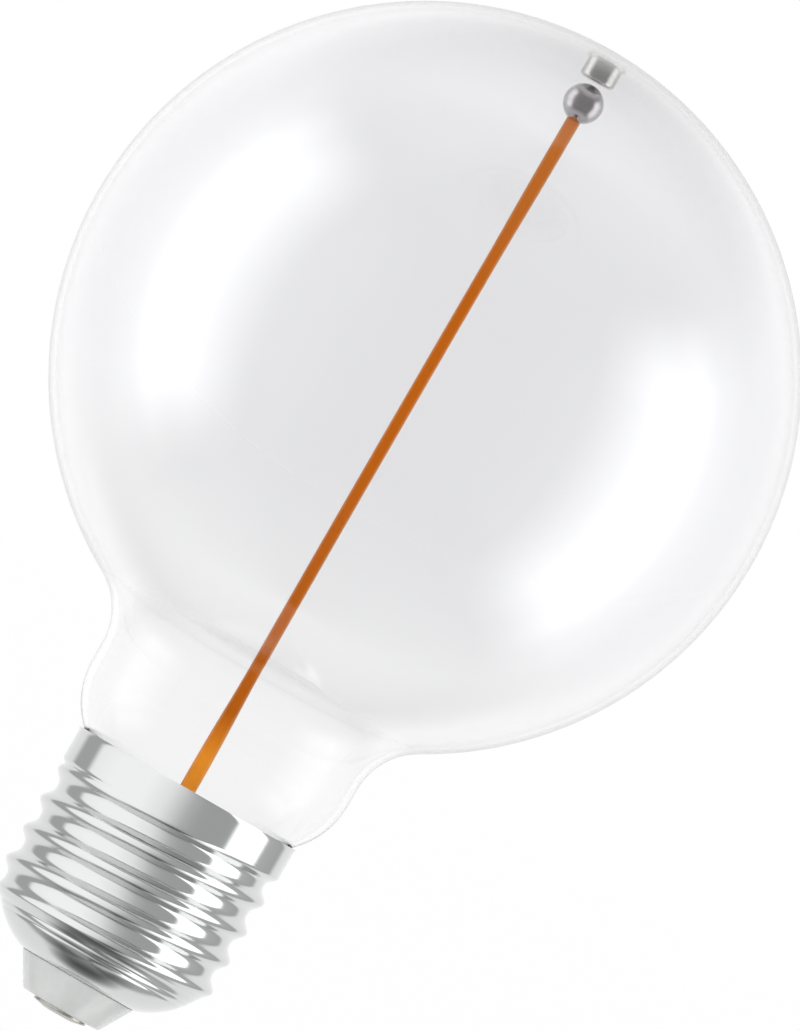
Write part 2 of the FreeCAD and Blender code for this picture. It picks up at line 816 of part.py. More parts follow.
def neutral_wire(radius):
    """Wire from the board's back, up between the spigot and the shell, to the inside of the collar."""
    pad_x = half_board - neutral_pad_inset
    pad_y = board_back_y + neutral_wire_radius
    pad_z = board_top_z - neutral_pad_drop
    lane = spigot_radius + spigot_gap / 2
    bearing = math.asin(pad_y / lane)
    outward = Vector(math.cos(bearing), math.sin(bearing), 0)
    seat = collar_radius - sheet - 1.5 * neutral_wire_radius
    bend_z = thread_top_z + collar_step + sheet
    path = [
        Vector(pad_x, pad_y, pad_z),
        Vector(pad_x, pad_y, pad_z + neutral_pad_length),
        outward * lane + axis * (flare_bottom_z - neutral_pad_length / 2),
        outward * lane + axis * bend_z,
        outward * seat + axis * (bend_z + cement_height),
        outward * seat + axis * (collar_top_z - wire_rim_drop),
    ]
    return bent_wire(path, radius)


def build():
    """Every piece of the lamp by node name."""
    rectifier_body = Vector(rectifier_width, rectifier_depth, rectifier_height)
    chip_body = Vector(chip_width, chip_depth, chip_height)
    sides = {"live": -1, "neutral": 1}
    tabs = {name: terminal(side) for name, side in sides.items()}
    pieces = {
        "glass_globe": glass_globe(),
        "glass_stem": glass_stem(sides.values()),
        "filament_strip": filament_strip(list(tabs.values())),
        "steel_ball": steel_ball(),
        "magnet_cup": magnet_cup(),
        "magnet": magnet(),
        "dome_adhesive": dome_adhesive(),
        "screw_shell": screw_shell(),
        "insulator": insulator(),
        "contact_eyelet": contact_eyelet(),
        "basing_cement": basing_cement(),
        "driver_board": driver_board(),
        "smoothing_capacitor": smoothing_capacitor(),
        "bridge_rectifier": package(rectifier_body, rectifier_x, 2),
        "driver_chip": package(chip_body, chip_x, 3),
        "chip_resistors": chip_resistors(),
        "filter_capacitor": filter_capacitor(),
        "fusible_resistor": fusible_resistor(),
        "resistor_sleeve": resistor_sleeve(),
        "choke_core": choke_core(),
        "choke_winding": choke_winding(),
        "live_wire": live_wire(),
        "neutral_wire": neutral_wire(neutral_wire_radius),
    }
    for name, side in sides.items():
        pieces["terminal_" + name] = tabs[name]
        pieces["lead_wire_" + name] = lead_wire(side, lead_radius)
    return pieces


os.makedirs("parts", exist_ok=True)
for node, piece in build().items():
    if not piece.isValid():
        raise ValueError(node + " is not a valid shape")
    piece.exportStep("parts/" + node + ".step")
    print(node, len(piece.Solids), "solid,", round(piece.Volume, 2), "mm3")
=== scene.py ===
"""Looks of a clear globe lamp with one upright filament strip, on a nickel screw cap."""

import math

import bmesh
import bpy
import numpy as np
from mathutils import Matrix, Vector


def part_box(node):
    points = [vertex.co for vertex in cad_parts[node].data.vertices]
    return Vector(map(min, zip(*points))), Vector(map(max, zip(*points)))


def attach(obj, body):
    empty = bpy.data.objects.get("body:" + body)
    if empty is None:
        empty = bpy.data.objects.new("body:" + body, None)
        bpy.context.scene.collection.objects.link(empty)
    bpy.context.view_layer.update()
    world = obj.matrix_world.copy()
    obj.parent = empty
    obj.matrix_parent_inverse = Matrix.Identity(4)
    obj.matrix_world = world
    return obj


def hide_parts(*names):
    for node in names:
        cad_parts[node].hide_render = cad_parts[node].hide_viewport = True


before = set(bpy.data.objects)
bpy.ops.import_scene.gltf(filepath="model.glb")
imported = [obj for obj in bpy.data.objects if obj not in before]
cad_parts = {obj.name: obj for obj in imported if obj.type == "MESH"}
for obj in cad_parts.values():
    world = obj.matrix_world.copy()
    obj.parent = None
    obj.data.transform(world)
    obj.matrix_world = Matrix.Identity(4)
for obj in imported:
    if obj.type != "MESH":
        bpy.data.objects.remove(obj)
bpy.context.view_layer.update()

bl_info = {
    "name": "Globe Lamp",
    "version": (1, 0, 0),
    "blender": (4, 5, 0),
    "location": "View3D > Sidebar > Globe Lamp",
    "description": "Builds the glass, cap and filament of a globe lamp and gives every piece its finish",
    "category": "Add Mesh",
}

MM = 0.001

# Places taken from the frame, in metres, with +Z from the contact to the crown
GLOBE_LOW, GLOBE_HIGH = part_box("glass_globe")
SHELL_LOW, SHELL_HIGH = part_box("screw_shell")
BALL_LOW, BALL_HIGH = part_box("steel_ball")
CUP_LOW, CUP_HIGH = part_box("magnet_cup")
STRIP_LOW, STRIP_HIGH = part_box("filament_strip")
CONTACT_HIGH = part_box("contact_eyelet")[1]
INSULATOR_LOW, INSULATOR_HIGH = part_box("insulator")
CAN_LOW, CAN_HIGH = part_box("smoothing_capacitor")
BOX_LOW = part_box("filter_capacitor")[0]
STEM_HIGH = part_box("glass_stem")[1]
FUSE_LOW, FUSE_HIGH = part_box("fusible_resistor")

# Points nearer to each other than this are one point
TOUCHING = 1e-7
# Faces in one turn of a small round piece, and of the floor
SMALL_ROUND = 96
FLOOR_ROUND = 128

# Rolled screw cap: rows of its outer and inner skin, then its sizes
CAP_ROWS = (280, 140)
THREAD_DEPTH = 0.98 * MM
THREAD_MAJOR = 13.13 * MM
FIRST_CREST_Z = 10.11 * MM
THREAD_FADE = (7.5 * MM, 10.1 * MM)
CREST_SHARPNESS = 1.5
COLLAR_RADIUS = 13.2 * MM
COLLAR_STEP = (22.9 * MM, 24.1 * MM)
THREAD_END = 1.0 * MM
COLLAR_BLEND = 0.16 * MM
RIM_FLARE = 0.15 * MM
RIM_FLARE_HEIGHT = 0.55 * MM
SHEET = 0.3 * MM
BROW_Z = 8.9 * MM
BROW_BLEND = 1.2 * MM
MOUTH_RADIUS = 7.0 * MM
SHOULDER_ARC = 9.5 * MM
SHOULDER_RINGS = (7.2 * MM, 7.85 * MM)
RING_WIDTH = 0.13 * MM
RING_DEPTH = 0.05 * MM

# Glass: points along globe, waist, neck, shoulder, cone and spigot, and the sizes below the globe
GLASS_ROWS = (104, 22, 4, 18, 4, 6)
WAIST_FILLET = 7.54 * MM
NECK_RADIUS = 15.65 * MM
NECK_LENGTH = 2.0 * MM
NECK_RISE = 6.8 * MM
RIM_GAP = 0.16 * MM
SPIGOT_RADIUS = 11.2 * MM
# Heights over which the glass's tint and its painted sheen change, and the painted sheen at the neck and at
# the crown
TINT_FADE = (34.0 * MM, 66.0 * MM)
PAINTED_SHEEN_HEIGHTS = (38.0 * MM, 58.0 * MM)
PAINTED_NECK_SHEEN = 0.2
PAINTED_CROWN_HEIGHTS = (98.0 * MM, 112.0 * MM)
PAINTED_CROWN_SHEEN = 0.4

# Filament strip: heights above its foot at which the width changes, its tang, and its grid
FOOT_TAPER = (2.6 * MM, 16.0 * MM)
HEAD_TAPER = (64.2 * MM, 77.2 * MM)
TANG_WIDTH, TANG_THICKNESS, TANG_LENGTH = 0.8 * MM, 0.3 * MM, 1.05 * MM
STRIP_TOP_Z = STRIP_HIGH.z - TANG_LENGTH
STRIP_ROUNDING = 0.2 * MM
FLAT_STEPS, EDGE_STEPS, END_ROWS, RUN_ROWS = 8, 14, 6, 150
# Heights over which its colour changes and the foot is painted lighter, its painted glow at the foot and
# above, its powder and its edge painted paler as sheen
FOOT_TONE_AND_PAINTED_LIGHT = (31.5 * MM, 37.0 * MM)
HEAD_SHADE = (88.0 * MM, 106.0 * MM)
SILICONE_PAINTED_GLOW = (0.3, 0.04)
POWDER_SHADE = (0.95, 1.05)
PAINTED_EDGE_SHEEN = (0.55, 1.0)
PAINTED_EDGE_SHEEN_POWER = 1.5

# Insulator, contact, ball and cup, in millimetres as their profiles are
INSULATOR_BORE, INSULATOR_TIP, INSULATOR_TOP, INSULATOR_HEAD = 1.2, 4.6, 6.8, 7.3
MOUTH_STEP, MOUTH_GAP, HEAD_RISE = 1.0, 0.12, 0.5
CONTACT_FLAT, CONTACT_RADIUS, CONTACT_RIM, RIVET_RADIUS, RIVET_BORE = 1.6, 3.1, 0.32, 1.2, 0.45
RIVET_LIP, RIVET_NECK, RIVET_FLOOR = 1.9, 0.8, 0.6
CUP_RADIUS, CUP_FLANGE, CUP_SHEET = 2.0, 2.35, 0.25
INSULATOR_EDGES = (0.45, 0.12, 0.0, 0.0, 0.1, 0.1)
CONTACT_EDGES = (2.5, 0.12, 0.05, 0.0, 0.0, 0.05, 0.1, 0.1, 0.1)
CUP_EDGES = (0.5, 0.08, 0.08, 0.08, 0.05, 0.25)
BALL_ROWS = 49

# Components on the driver board, and how much of a lead is sealed in the pinch
PACKAGE_MIDDLE_Z = (CAN_LOW.z + CAN_HIGH.z) / 2
CHIP_HALF_HEIGHT = 1.8 * MM
RECTIFIER_HALF_HEIGHT = 2.3 * MM
RESISTOR_MIDDLE_X = 2.8 * MM
RESISTOR_SPREAD_X = 1.4 * MM
RESISTOR_CAP_X = 0.65 * MM
FUSE_HALF_LENGTH = 3.1 * MM
CAN_FOOT, CAN_DISC = 0.3 * MM, 1.0 * MM
BOX_FOOT = 0.4 * MM
SEALED_LENGTH = 3.0 * MM

# Nearly all of a noise texture's values lie between these two
NOISE_SPAN = (0.3, 0.7)
# Scale at which the wave texture has one wave in a unit
ONE_WAVE = math.pi / 10

# Photograph: the lamp leans to the right in the picture, seen square on
PHOTO_SIZE = (800, 1031)
PHOTO_LEAN = math.radians(30)
PHOTO_PIXELS_PER_MM = 9.425
PHOTO_CENTRE = (5.01 * MM, 64.0 * MM)
CAMERA_DISTANCE = 3.5
CAMERA_ABOVE_RIM = 18.0 * MM
CAMERA_SENSOR = 36.0
CAMERA_REACH = 100.0

# Studio: brightness by degrees to the right of the camera, as metal and matt surfaces meet it. The
# ceiling and the table dim from one height to another, in degrees, and the flag around a direction.
STUDIO_PEAK = 2.2
STUDIO_BANDS = (
    (-180, 1.0), (-135, 1.0), (-126, 0.5), (-104, 0.5), (-97, 1.2), (-70, 1.3), (-33, 1.3), (-22, 1.2),
    (-11, 1.1), (0, 0.86), (11, 0.61), (22, 0.5), (30, 0.48), (58, 0.48), (63, 2.0), (98, 2.0), (103, 0.6),
    (130, 0.5), (138, 1.0), (180, 1.0),
)
STUDIO_CEILING = (52, 70, 0.18)
STUDIO_TABLE = (56, 72, 0.32)
STUDIO_FLAG = ((0.0, 0.38, -0.92), (8, 19), 0.3)

# The same for the clear mirror of polished glass: near the level, and well above and below it
GLASS_BANDS = (
    (-180, 0.88), (-164, 1.1), (-148, 1.12), (-136, 1.0), (-125, 1.0), (-105, 1.4), (-98, 2.0), (-76, 2.0),
    (-64, 1.15), (-52, 0.38), (-36, 0.33), (-24, 0.13), (-12, 0.0), (38, 0.0), (50, 0.17), (57, 0.6),
    (64, 1.15), (76, 2.0), (98, 2.0), (105, 1.4), (125, 0.95), (136, 0.92), (148, 1.05), (164, 1.05),
    (180, 0.88),
)
GLASS_HIGH_BANDS = (
    (-180, 0.4), (-165, 0.55), (-145, 0.65), (-120, 0.8), (-104, 0.66), (-88, 0.5), (-58, 0.35), (-32, 0.1),
    (0, 0.05), (58, 0.1), (88, 0.28), (104, 0.46), (120, 0.6), (145, 0.55), (165, 0.55), (180, 0.4),
)
GLASS_HIGH = (29, 46)
GLASS_LEVEL = -3
# A ray mirrored inside the globe has passed this many skins, and meets this much at least
INSIDE_WALLS = 4
INSIDE_FRONT = 0.28
INSIDE_LEVEL = 0.75
INSIDE_HIGH = (40, 62)

# Floor, and how far the eye sees it as plain white
FLOOR_RADIUS = 30.0
FLOOR_Z = -6.0 * MM
FLOOR_THICKNESS = 10.0 * MM
FLOOR_SHINE = 0.85
FLOOR_WHITE = 1.04


def linear(code):
    """Linear colour with alpha 1 from an sRGB hex code such as #C8C9CB."""
    srgb = np.array([int(code[i:i + 2], 16) for i in (1, 3, 5)]) / 255
    rgb = np.where(srgb <= 0.04045, srgb / 12.92, ((srgb + 0.055) / 1.055) ** 2.4)
    return (*rgb.tolist(), 1.0)


def add_node(tree, kind, links=(), **settings):
    """Adds a node; links pairs its input names with sockets, settings are its inputs or attributes."""
    made = tree.nodes.new(kind)
    for key, value in settings.items():
        if hasattr(made, key):
            setattr(made, key, value)
        else:
            made.inputs[key.replace("_", " ")].default_value = value
    for key, socket in dict(links).items():
        tree.links.new(socket, made.inputs[key])
    return made


# Surfaces


def arc(centre, radius, start, end, count):
    """Points (r, z) at equal angles along a circle, from start to end in radians from +r."""
    angle = np.linspace(start, end, count)
    return np.stack([centre[0] + radius * np.cos(angle), centre[1] + radius * np.sin(angle)], axis=1)


def run(start, end, count):
    """Points (r, z) at equal steps along a straight line."""
    return np.linspace(start, end, count)


def joined(*stretches):
    """One profile from several stretches, with the points that they share taken once."""
    points = np.concatenate(stretches)
    step = np.linalg.norm(np.diff(points, axis=0), axis=1)
    return points[np.append(True, step > TOUCHING)]


def rounded(corners, radii, steps=7):
    """Profile through corners (r, z), each but the ends rounded by its own radius, all in mm.

    An arc of radius c at a corner p with unit sides u and v starts and ends c / tan(h) along them,
    where h is half the angle between them, and has its centre c / sin(h) from p along u + v. With a
    radius of 0 the corner stays sharp.
    """
    points = np.array(corners, dtype=float) * MM
    stretches = [points[:1]]
    for k, radius in enumerate(radii):
        p = points[k + 1]
        u, v = (q - p for q in (points[k], points[k + 2]))
        u, v = u / np.linalg.norm(u), v / np.linalg.norm(v)
        half = math.acos(np.clip(u @ v, -1, 1)) / 2
        if radius == 0:
            stretches.append(p[None, :])
            continue
        reach = radius * MM / math.tan(half)
        centre = p + (u + v) / np.linalg.norm(u + v) * radius * MM / math.sin(half)
        first, last = (math.atan2(*(p + side * reach - centre)[::-1]) for side in (u, v))
        last = first + (last - first + math.pi) % (2 * math.pi) - math.pi
        stretches.append(arc(centre, radius * MM, first, last, steps))
    return joined(*stretches, points[-1:])


def rings_of(profile, around):
    """Rings of points: each (r, z) of the profile carried round the axis in equal steps."""
    turn = np.linspace(0, 2 * math.pi, around, endpoint=False)
    r, z = profile[:, :1], profile[:, 1:]
    return np.stack([r * np.cos(turn), r * np.sin(turn), z + 0 * turn], axis=2)


def skin(name, rings, loop=False, crease=40):
    """Closed mesh through rings of points; a ring drawn in to nothing becomes one pole vertex.

    Neighbouring rings are joined by quads, and the last to the first if loop is true. The faces are
    turned outwards by the sign of the volume: the sum of a . (b x c) / 6 over their triangles.
    """
    rows, around = rings.shape[:2]
    index = np.arange(rows * around).reshape(rows, around)
    low = index if loop else index[:-1]
    high = np.roll(index, -1, axis=0) if loop else index[1:]
    quads = np.stack([low, np.roll(low, -1, 1), np.roll(high, -1, 1), high], axis=-1).reshape(-1, 4)
    points = rings.reshape(-1, 3)
    a, b, c, d = (points[quads[:, k]] for k in range(4))
    volume = np.einsum("ij,ij->", a, np.cross(b, c)) + np.einsum("ij,ij->", a, np.cross(c, d))
    if volume < 0:
        quads = quads[:, ::-1]

    mesh = bpy.data.meshes.new(name)
    mesh.vertices.add(len(points))
    mesh.vertices.foreach_set("co", points.astype(np.float32).ravel())
    mesh.loops.add(quads.size)
    mesh.loops.foreach_set("vertex_index", quads.astype(np.int32).ravel())
    mesh.polygons.add(len(quads))
    mesh.polygons.foreach_set("loop_start", np.arange(0, quads.size, 4, dtype=np.int32))
    mesh.update(calc_edges=True)
    work = bmesh.new()
    work.from_mesh(mesh)
    bmesh.ops.remove_doubles(work, verts=work.verts, dist=TOUCHING)
    if not loop:
        bmesh.ops.holes_fill(work, edges=[e for e in work.edges if e.is_boundary])
    work.to_mesh(mesh)
    work.free()
    mesh.polygons.foreach_set("use_smooth", np.ones(len(mesh.polygons), dtype=bool))
    mesh.set_sharp_from_angle(angle=math.radians(crease))
    return mesh


def show(mesh, finish, replaced):
    """Puts a finished mesh in the scene as a piece that stands for a node of the frame."""
    piece = bpy.data.objects.new(mesh.name, mesh)
    bpy.context.scene.collection.objects.link(piece)
    mesh.materials.append(finish)
    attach(piece, "root")
    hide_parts(replaced)
    return piece


def dress(finish, *nodes):
    """Gives nodes of the frame their finish."""
    for node in nodes:
        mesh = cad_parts[node].data
        mesh.materials.clear()
        mesh.materials.append(finish)


def smooth_step(low, high, x):
    """0 below low and 1 above high, with the curve 3t^2 - 2t^3 between."""
    t = np.clip((x - low) / (high - low), 0, 1)
    return t * t * (3 - 2 * t)


def glass_profile(sizes, inset):
    """Skin of the glass from crown to foot: globe arc, waist arc, neck, shoulder arc, cone, spigot.

    The inner skin is parallel down to the neck, and below it the outer one moved straight inwards, so
    that the wall thins where the glass is drawn in.
    """
    globe = sizes.globe_radius
    neck = NECK_RADIUS - inset
    spigot = SPIGOT_RADIUS - inset
    rim_r = COLLAR_RADIUS - SHEET - RIM_GAP - inset
    centre_z = GLOBE_HIGH.z - globe
    waist_r = NECK_RADIUS + WAIST_FILLET
    drop = math.sqrt((globe + WAIST_FILLET) ** 2 - waist_r ** 2)
    tilt = math.atan2(-drop, waist_r)
    neck_top = centre_z - drop
    neck_foot = neck_top - NECK_LENGTH
    pull = neck - rim_r
    shoulder = (NECK_RISE ** 2 + pull ** 2) / (2 * pull)
    turn = math.asin(NECK_RISE / shoulder)
    rim_z = neck_foot - NECK_RISE
    spigot_top = rim_z - (rim_r - spigot) / math.tan(turn)
    rows = iter(GLASS_ROWS)
    return joined(
        arc((0, centre_z), globe - inset, math.pi / 2, tilt, next(rows)),
        arc((waist_r, neck_top), WAIST_FILLET + inset, math.pi + tilt, math.pi, next(rows)),
        run((neck, neck_top), (neck, neck_foot), next(rows)),
        arc((neck - shoulder, neck_foot), shoulder, 0, -turn, next(rows)),
        run((rim_r, rim_z), (spigot, spigot_top), next(rows)),
        run((spigot, spigot_top), (spigot, GLOBE_LOW.z), next(rows)),
    )


def cap_skin(sizes, inset, rows):
    """Rings of one skin of the rolled cap, from its mouth to its rim.

    A base profile runs up the shoulder's arc, the root of the thread and the collar. At turn a and
    height z the thread stands out from it along its normal by depth * ((1 + cos 2 pi p) / 2) ^ k,
    where p = (z - first crest) / pitch - a / 2 pi. It fades in over the shoulder, and joins the
    collar by a soft maximum, (x + y + sqrt((x - y)^2 + s^2)) / 2. Two rolled rings are sunk into
    the shoulder by depth * exp(-((z - ring) / width)^2).
    """
    root = THREAD_MAJOR - THREAD_DEPTH
    mouth = np.array([MOUTH_RADIUS, SHELL_LOW.z])
    brow = np.array([root, BROW_Z])
    chord = brow - mouth
    length = np.linalg.norm(chord)
    bulge = math.sqrt(SHOULDER_ARC ** 2 - (length / 2) ** 2)
    centre = (mouth + brow) / 2 + np.array([-chord[1], chord[0]]) / length * bulge
    start = math.atan2(*(mouth - centre)[::-1])
    end = math.atan2(*(brow - centre)[::-1])
    shoulder_rows = rows // 4
    base = joined(arc(centre, SHOULDER_ARC, start, end, shoulder_rows),
                  run(brow, (root, SHELL_HIGH.z), rows - shoulder_rows))

    lean = np.where(base[:, 1] < BROW_Z, np.arctan2(base[:, 1] - centre[1], base[:, 0] - centre[0]), 0)
    lean *= 1 - smooth_step(BROW_Z - BROW_BLEND, BROW_Z, base[:, 1])
    normal_r, normal_z = np.cos(lean)[:, None], np.sin(lean)[:, None]
    r, z = base[:, :1], base[:, 1:]
    turn = np.linspace(0, 2 * math.pi, sizes.steps_around, endpoint=False)[None, :]
    phase = (z - FIRST_CREST_Z) / sizes.thread_pitch - turn / (2 * math.pi)
    wave = ((1 + np.cos(2 * math.pi * phase)) / 2) ** CREST_SHARPNESS
    low, high = COLLAR_STEP
    thread = THREAD_DEPTH * wave * smooth_step(*THREAD_FADE, z)
    thread = thread * (1 - smooth_step(high, high + THREAD_END, z))
    collar = (COLLAR_RADIUS - root) * smooth_step(low, high, z)
    blend = COLLAR_BLEND * smooth_step(low - sizes.thread_pitch / 2, low, z)
    out = (thread + collar + np.sqrt((thread - collar) ** 2 + blend ** 2)) / 2 - blend / 2
    flare = np.clip((z - (SHELL_HIGH.z - RIM_FLARE_HEIGHT)) / RIM_FLARE_HEIGHT, 0, 1)
    rings = sum(np.exp(-(((z - ring) / RING_WIDTH) ** 2)) for ring in SHOULDER_RINGS)
    out = out + RIM_FLARE * flare ** 2 - RING_DEPTH * rings - inset
    radius = r + out * normal_r
    height = z + out * normal_z
    return np.stack([radius * np.cos(turn), radius * np.sin(turn), height + 0 * turn], axis=2)


def strip_shape(sizes, z):
    """Half width of the strip and its sideways bow at heights z.

    The width eases from the foot's to the run's and on to the head's; the bow is a half sine wave.
    """
    up = z - STRIP_LOW.z
    foot = 1 - smooth_step(*FOOT_TAPER, up)
    head = smooth_step(*HEAD_TAPER, up)
    run_width, foot_width, head_width = sizes.strip_width, sizes.strip_foot_width, sizes.strip_head_width
    width = run_width + (foot_width - run_width) * foot + (head_width - run_width) * head
    bow = -sizes.strip_bow * np.sin(math.pi * np.clip(up / (STRIP_TOP_Z - STRIP_LOW.z), 0, 1))
    return width / 2, bow


def filament_mesh(sizes):
    """The moulded strip: flat faces, round edges, ends rounded off, and the tang inside the ball.

    A section is x = bow + s (w - t) + t c, y = t e, where w and t are the half width and thickness,
    s runs from -1 to 1 along the flats and (c, e) turns through half a circle at each edge.
    """
    flat = np.linspace(-1, 1, FLAT_STEPS, endpoint=False)
    half_turn = np.linspace(-math.pi / 2, math.pi / 2, EDGE_STEPS, endpoint=False)
    side = np.concatenate([flat, np.ones(EDGE_STEPS), -flat, -np.ones(EDGE_STEPS)])
    c = np.concatenate([0 * flat, np.cos(half_turn), 0 * flat, -np.cos(half_turn)])
    e = np.concatenate([0 * flat - 1, np.sin(half_turn), 0 * flat + 1, -np.sin(half_turn)])

    bend = np.linspace(0, math.pi / 2, END_ROWS)
    z = np.concatenate([
        STRIP_LOW.z + STRIP_ROUNDING * (1 - np.cos(bend)),
        np.linspace(STRIP_LOW.z + 2 * STRIP_ROUNDING, STRIP_TOP_Z - STRIP_ROUNDING, RUN_ROWS),
        [STRIP_TOP_Z, STRIP_TOP_Z, STRIP_HIGH.z],
    ])
    draw_in = np.concatenate([STRIP_ROUNDING * (1 - np.sin(bend)), np.zeros(len(z) - END_ROWS)])
    w, bow = strip_shape(sizes, z)
    w, t = w - draw_in, sizes.strip_thickness / 2 - draw_in
    w[-2:], t[-2:] = TANG_WIDTH / 2, TANG_THICKNESS / 2
    w, t, bow, z = (v[:, None] for v in (w, t, bow, z))
    rings = np.stack([bow + side * (w - t) + t * c, t * e, z + 0 * side], axis=2)
    mesh = skin("moulded_strip", rings)

    place = np.empty(3 * len(mesh.vertices), dtype=np.float32)
    mesh.vertices.foreach_get("co", place)
    x, _, z = place.reshape(-1, 3).T
    half, bow = strip_shape(sizes, z)
    edge = mesh.attributes.new("edge", "FLOAT", "POINT")
    edge.data.foreach_set("value", np.clip(np.abs(x - bow) / half, 0, 1).astype(np.float32))
    return mesh


# Finishes


def new_finish(name, colour, roughness, metallic=0.0, **sockets):
    """A material with one Principled shader; returns it with its tree, shader and Object coordinates."""
    finish = bpy.data.materials.new(name)
    finish.use_nodes = True
    tree = finish.node_tree
    shader = tree.nodes["Principled BSDF"]
    shader.inputs["Base Color"].default_value = linear(colour) if isinstance(colour, str) else colour
    shader.inputs["Roughness"].default_value = roughness
    shader.inputs["Metallic"].default_value = metallic
    for key, value in sockets.items():
        shader.inputs[key.replace("_", " ")].default_value = value
    place = add_node(tree, "ShaderNodeTexCoord").outputs["Object"]
    return finish, tree, shader, place


def grain(tree, place, size, stretch=(1, 1, 1), detail=3.0):
    """Noise whose grains are size metres across, drawn out along an axis by stretch."""
    scale = tuple(1 / (size * s) for s in stretch)
    mapped = add_node(tree, "ShaderNodeMapping", {"Vector": place}, Scale=scale)
    noise = add_node(tree, "ShaderNodeTexNoise", {"Vector": mapped.outputs[0]}, Scale=1.0, Detail=detail)
    return noise.outputs[0]


def bands(tree, place, pitch, direction):
    """Waves of one pitch in metres along X, Y or Z."""
    mapped = add_node(tree, "ShaderNodeMapping", {"Vector": place}, Scale=(1 / pitch,) * 3)
    return add_node(tree, "ShaderNodeTexWave", {"Vector": mapped.outputs[0]}, wave_type="BANDS",
                    bands_direction=direction, Scale=ONE_WAVE).outputs["Fac"]


def ranged(tree, value, low, high, start=0.0, end=1.0):
    """Spreads the values from start to end over low to high, and stops there."""
    return add_node(tree, "ShaderNodeMapRange", {"Value": value}, From_Min=start, From_Max=end,
                    To_Min=low, To_Max=high).outputs[0]


def maths(tree, operation, first, second):
    """One sum on two values, each a socket or a number."""
    made = add_node(tree, "ShaderNodeMath", operation=operation)
    for slot, value in enumerate((first, second)):
        if isinstance(value, (int, float)):
            made.inputs[slot].default_value = value
        else:
            tree.links.new(value, made.inputs[slot])
    return made.outputs[0]


def along(tree, place, letter):
    """The X, Y or Z coordinate in metres."""
    return add_node(tree, "ShaderNodeSeparateXYZ", {"Vector": place}).outputs[letter]


def some(tree, count):
    """1 where a ray's count of passes or bounces isn't 0."""
    return maths(tree, "GREATER_THAN", count, 0.5)


def less(tree, value):
    """1 less a value."""
    return maths(tree, "SUBTRACT", 1.0, value)


def away(tree, value, middle):
    """Distance of a value from the middle."""
    return maths(tree, "ABSOLUTE", maths(tree, "SUBTRACT", value, middle), 0)


def beyond(tree, value, edge, soft=0.02 * MM):
    """0 below an edge and 1 above it."""
    return ranged(tree, value, 0, 1, edge - soft, edge + soft)


def bump(tree, shader, height, depth):
    """Raises the surface by depth metres where height is 1."""
    made = add_node(tree, "ShaderNodeBump", {"Height": height}, Distance=depth, Strength=1.0)
    tree.links.new(made.outputs["Normal"], shader.inputs["Normal"])


def mixed(tree, factor, first, second):
    """Colour that goes from first to second with a factor; each is a socket, a hex code or a colour."""
    made = add_node(tree, "ShaderNodeMix", data_type="RGBA")
    tree.links.new(factor, made.inputs[0])
    for socket, colour in ((made.inputs[6], first), (made.inputs[7], second)):
        if isinstance(colour, bpy.types.NodeSocket):
            tree.links.new(colour, socket)
        else:
            socket.default_value = linear(colour) if isinstance(colour, str) else colour
    return made.outputs[2]


def worn(name, tones, size, rough, relief, metallic=0.0, stretch=(1, 1, 1), **sockets):
    """A finish whose tone, roughness and relief follow one grain of a real size."""
    finish, tree, shader, place = new_finish(name, tones[0], sum(rough) / 2, metallic, **sockets)
    noise = grain(tree, place, size, stretch)
    spread = ranged(tree, noise, 0, 1, *NOISE_SPAN)
    tone = mixed(tree, spread, *tones)
    tree.links.new(tone, shader.inputs["Base Color"])
    tree.links.new(ranged(tree, spread, *rough), shader.inputs["Roughness"])
    bump(tree, shader, noise, relief)
    return finish, tree, shader, place, tone


def partly(tree, shader, mask, tone, other, rough, other_metal=1.0):
    """Where the mask is 1 the surface is another material, such as the tinned legs of a package."""
    tree.links.new(mixed(tree, mask, tone, other), shader.inputs["Base Color"])
    tree.links.new(ranged(tree, mask, shader.inputs["Metallic"].default_value, other_metal),
                   shader.inputs["Metallic"])
    tree.links.new(ranged(tree, mask, shader.inputs["Roughness"].default_value, rough),
                   shader.inputs["Roughness"])


def let_lamps_through(tree, shader, tint):
    """Light from lamps and world reaches what stands behind the glass."""
    clear = add_node(tree, "ShaderNodeBsdfTransparent", Color=tint)
    ray = add_node(tree, "ShaderNodeLightPath").outputs["Is Shadow Ray"]
    both = add_node(tree, "ShaderNodeMixShader", {0: ray, 1: shader.outputs[0], 2: clear.outputs[0]})
    tree.links.new(both.outputs[0], tree.nodes["Material Output"].inputs["Surface"])


def blown_soda_lime_glass(tint, neck_tint):
    """Blown soda-lime glass: clear and fire-polished; its wall greys what is behind it a little.

    The neck, where the glass was drawn, is as clear as water. How much the glass mirrors is painted
    by height, as painted sheen: less at the neck and at the crown.
    """
    finish, tree, shader, place = new_finish(
        "blown_soda_lime_glass", tint, roughness=0.0, Transmission_Weight=1.0, IOR=1.52)
    z = along(tree, place, "Z")
    globe = ranged(tree, z, 0, 1, *TINT_FADE)
    tree.links.new(mixed(tree, globe, neck_tint, tint), shader.inputs["Base Color"])
    # Painted sheen: the glass mirrors less at the neck and at the crown
    painted_sheen = maths(tree, "MULTIPLY", ranged(tree, z, PAINTED_NECK_SHEEN, 1, *PAINTED_SHEEN_HEIGHTS),
                  ranged(tree, z, 1, PAINTED_CROWN_SHEEN, *PAINTED_CROWN_HEIGHTS))
    tree.links.new(painted_sheen, shader.inputs["Specular Tint"])
    let_lamps_through(tree, shader, tint)
    return finish


def drawn_stem_glass():
    """Drawn stem glass, a shade greener than the globe: fine streaks run along it."""
    finish, tree, shader, place = new_finish(
        "drawn_stem_glass", "#E9F2EC", roughness=0.02, Transmission_Weight=1.0, IOR=1.56)
    bump(tree, shader, grain(tree, place, size=0.3 * MM, stretch=(1, 1, 12)), depth=0.01 * MM)
    let_lamps_through(tree, shader, linear("#E9F2EC"))
    return finish


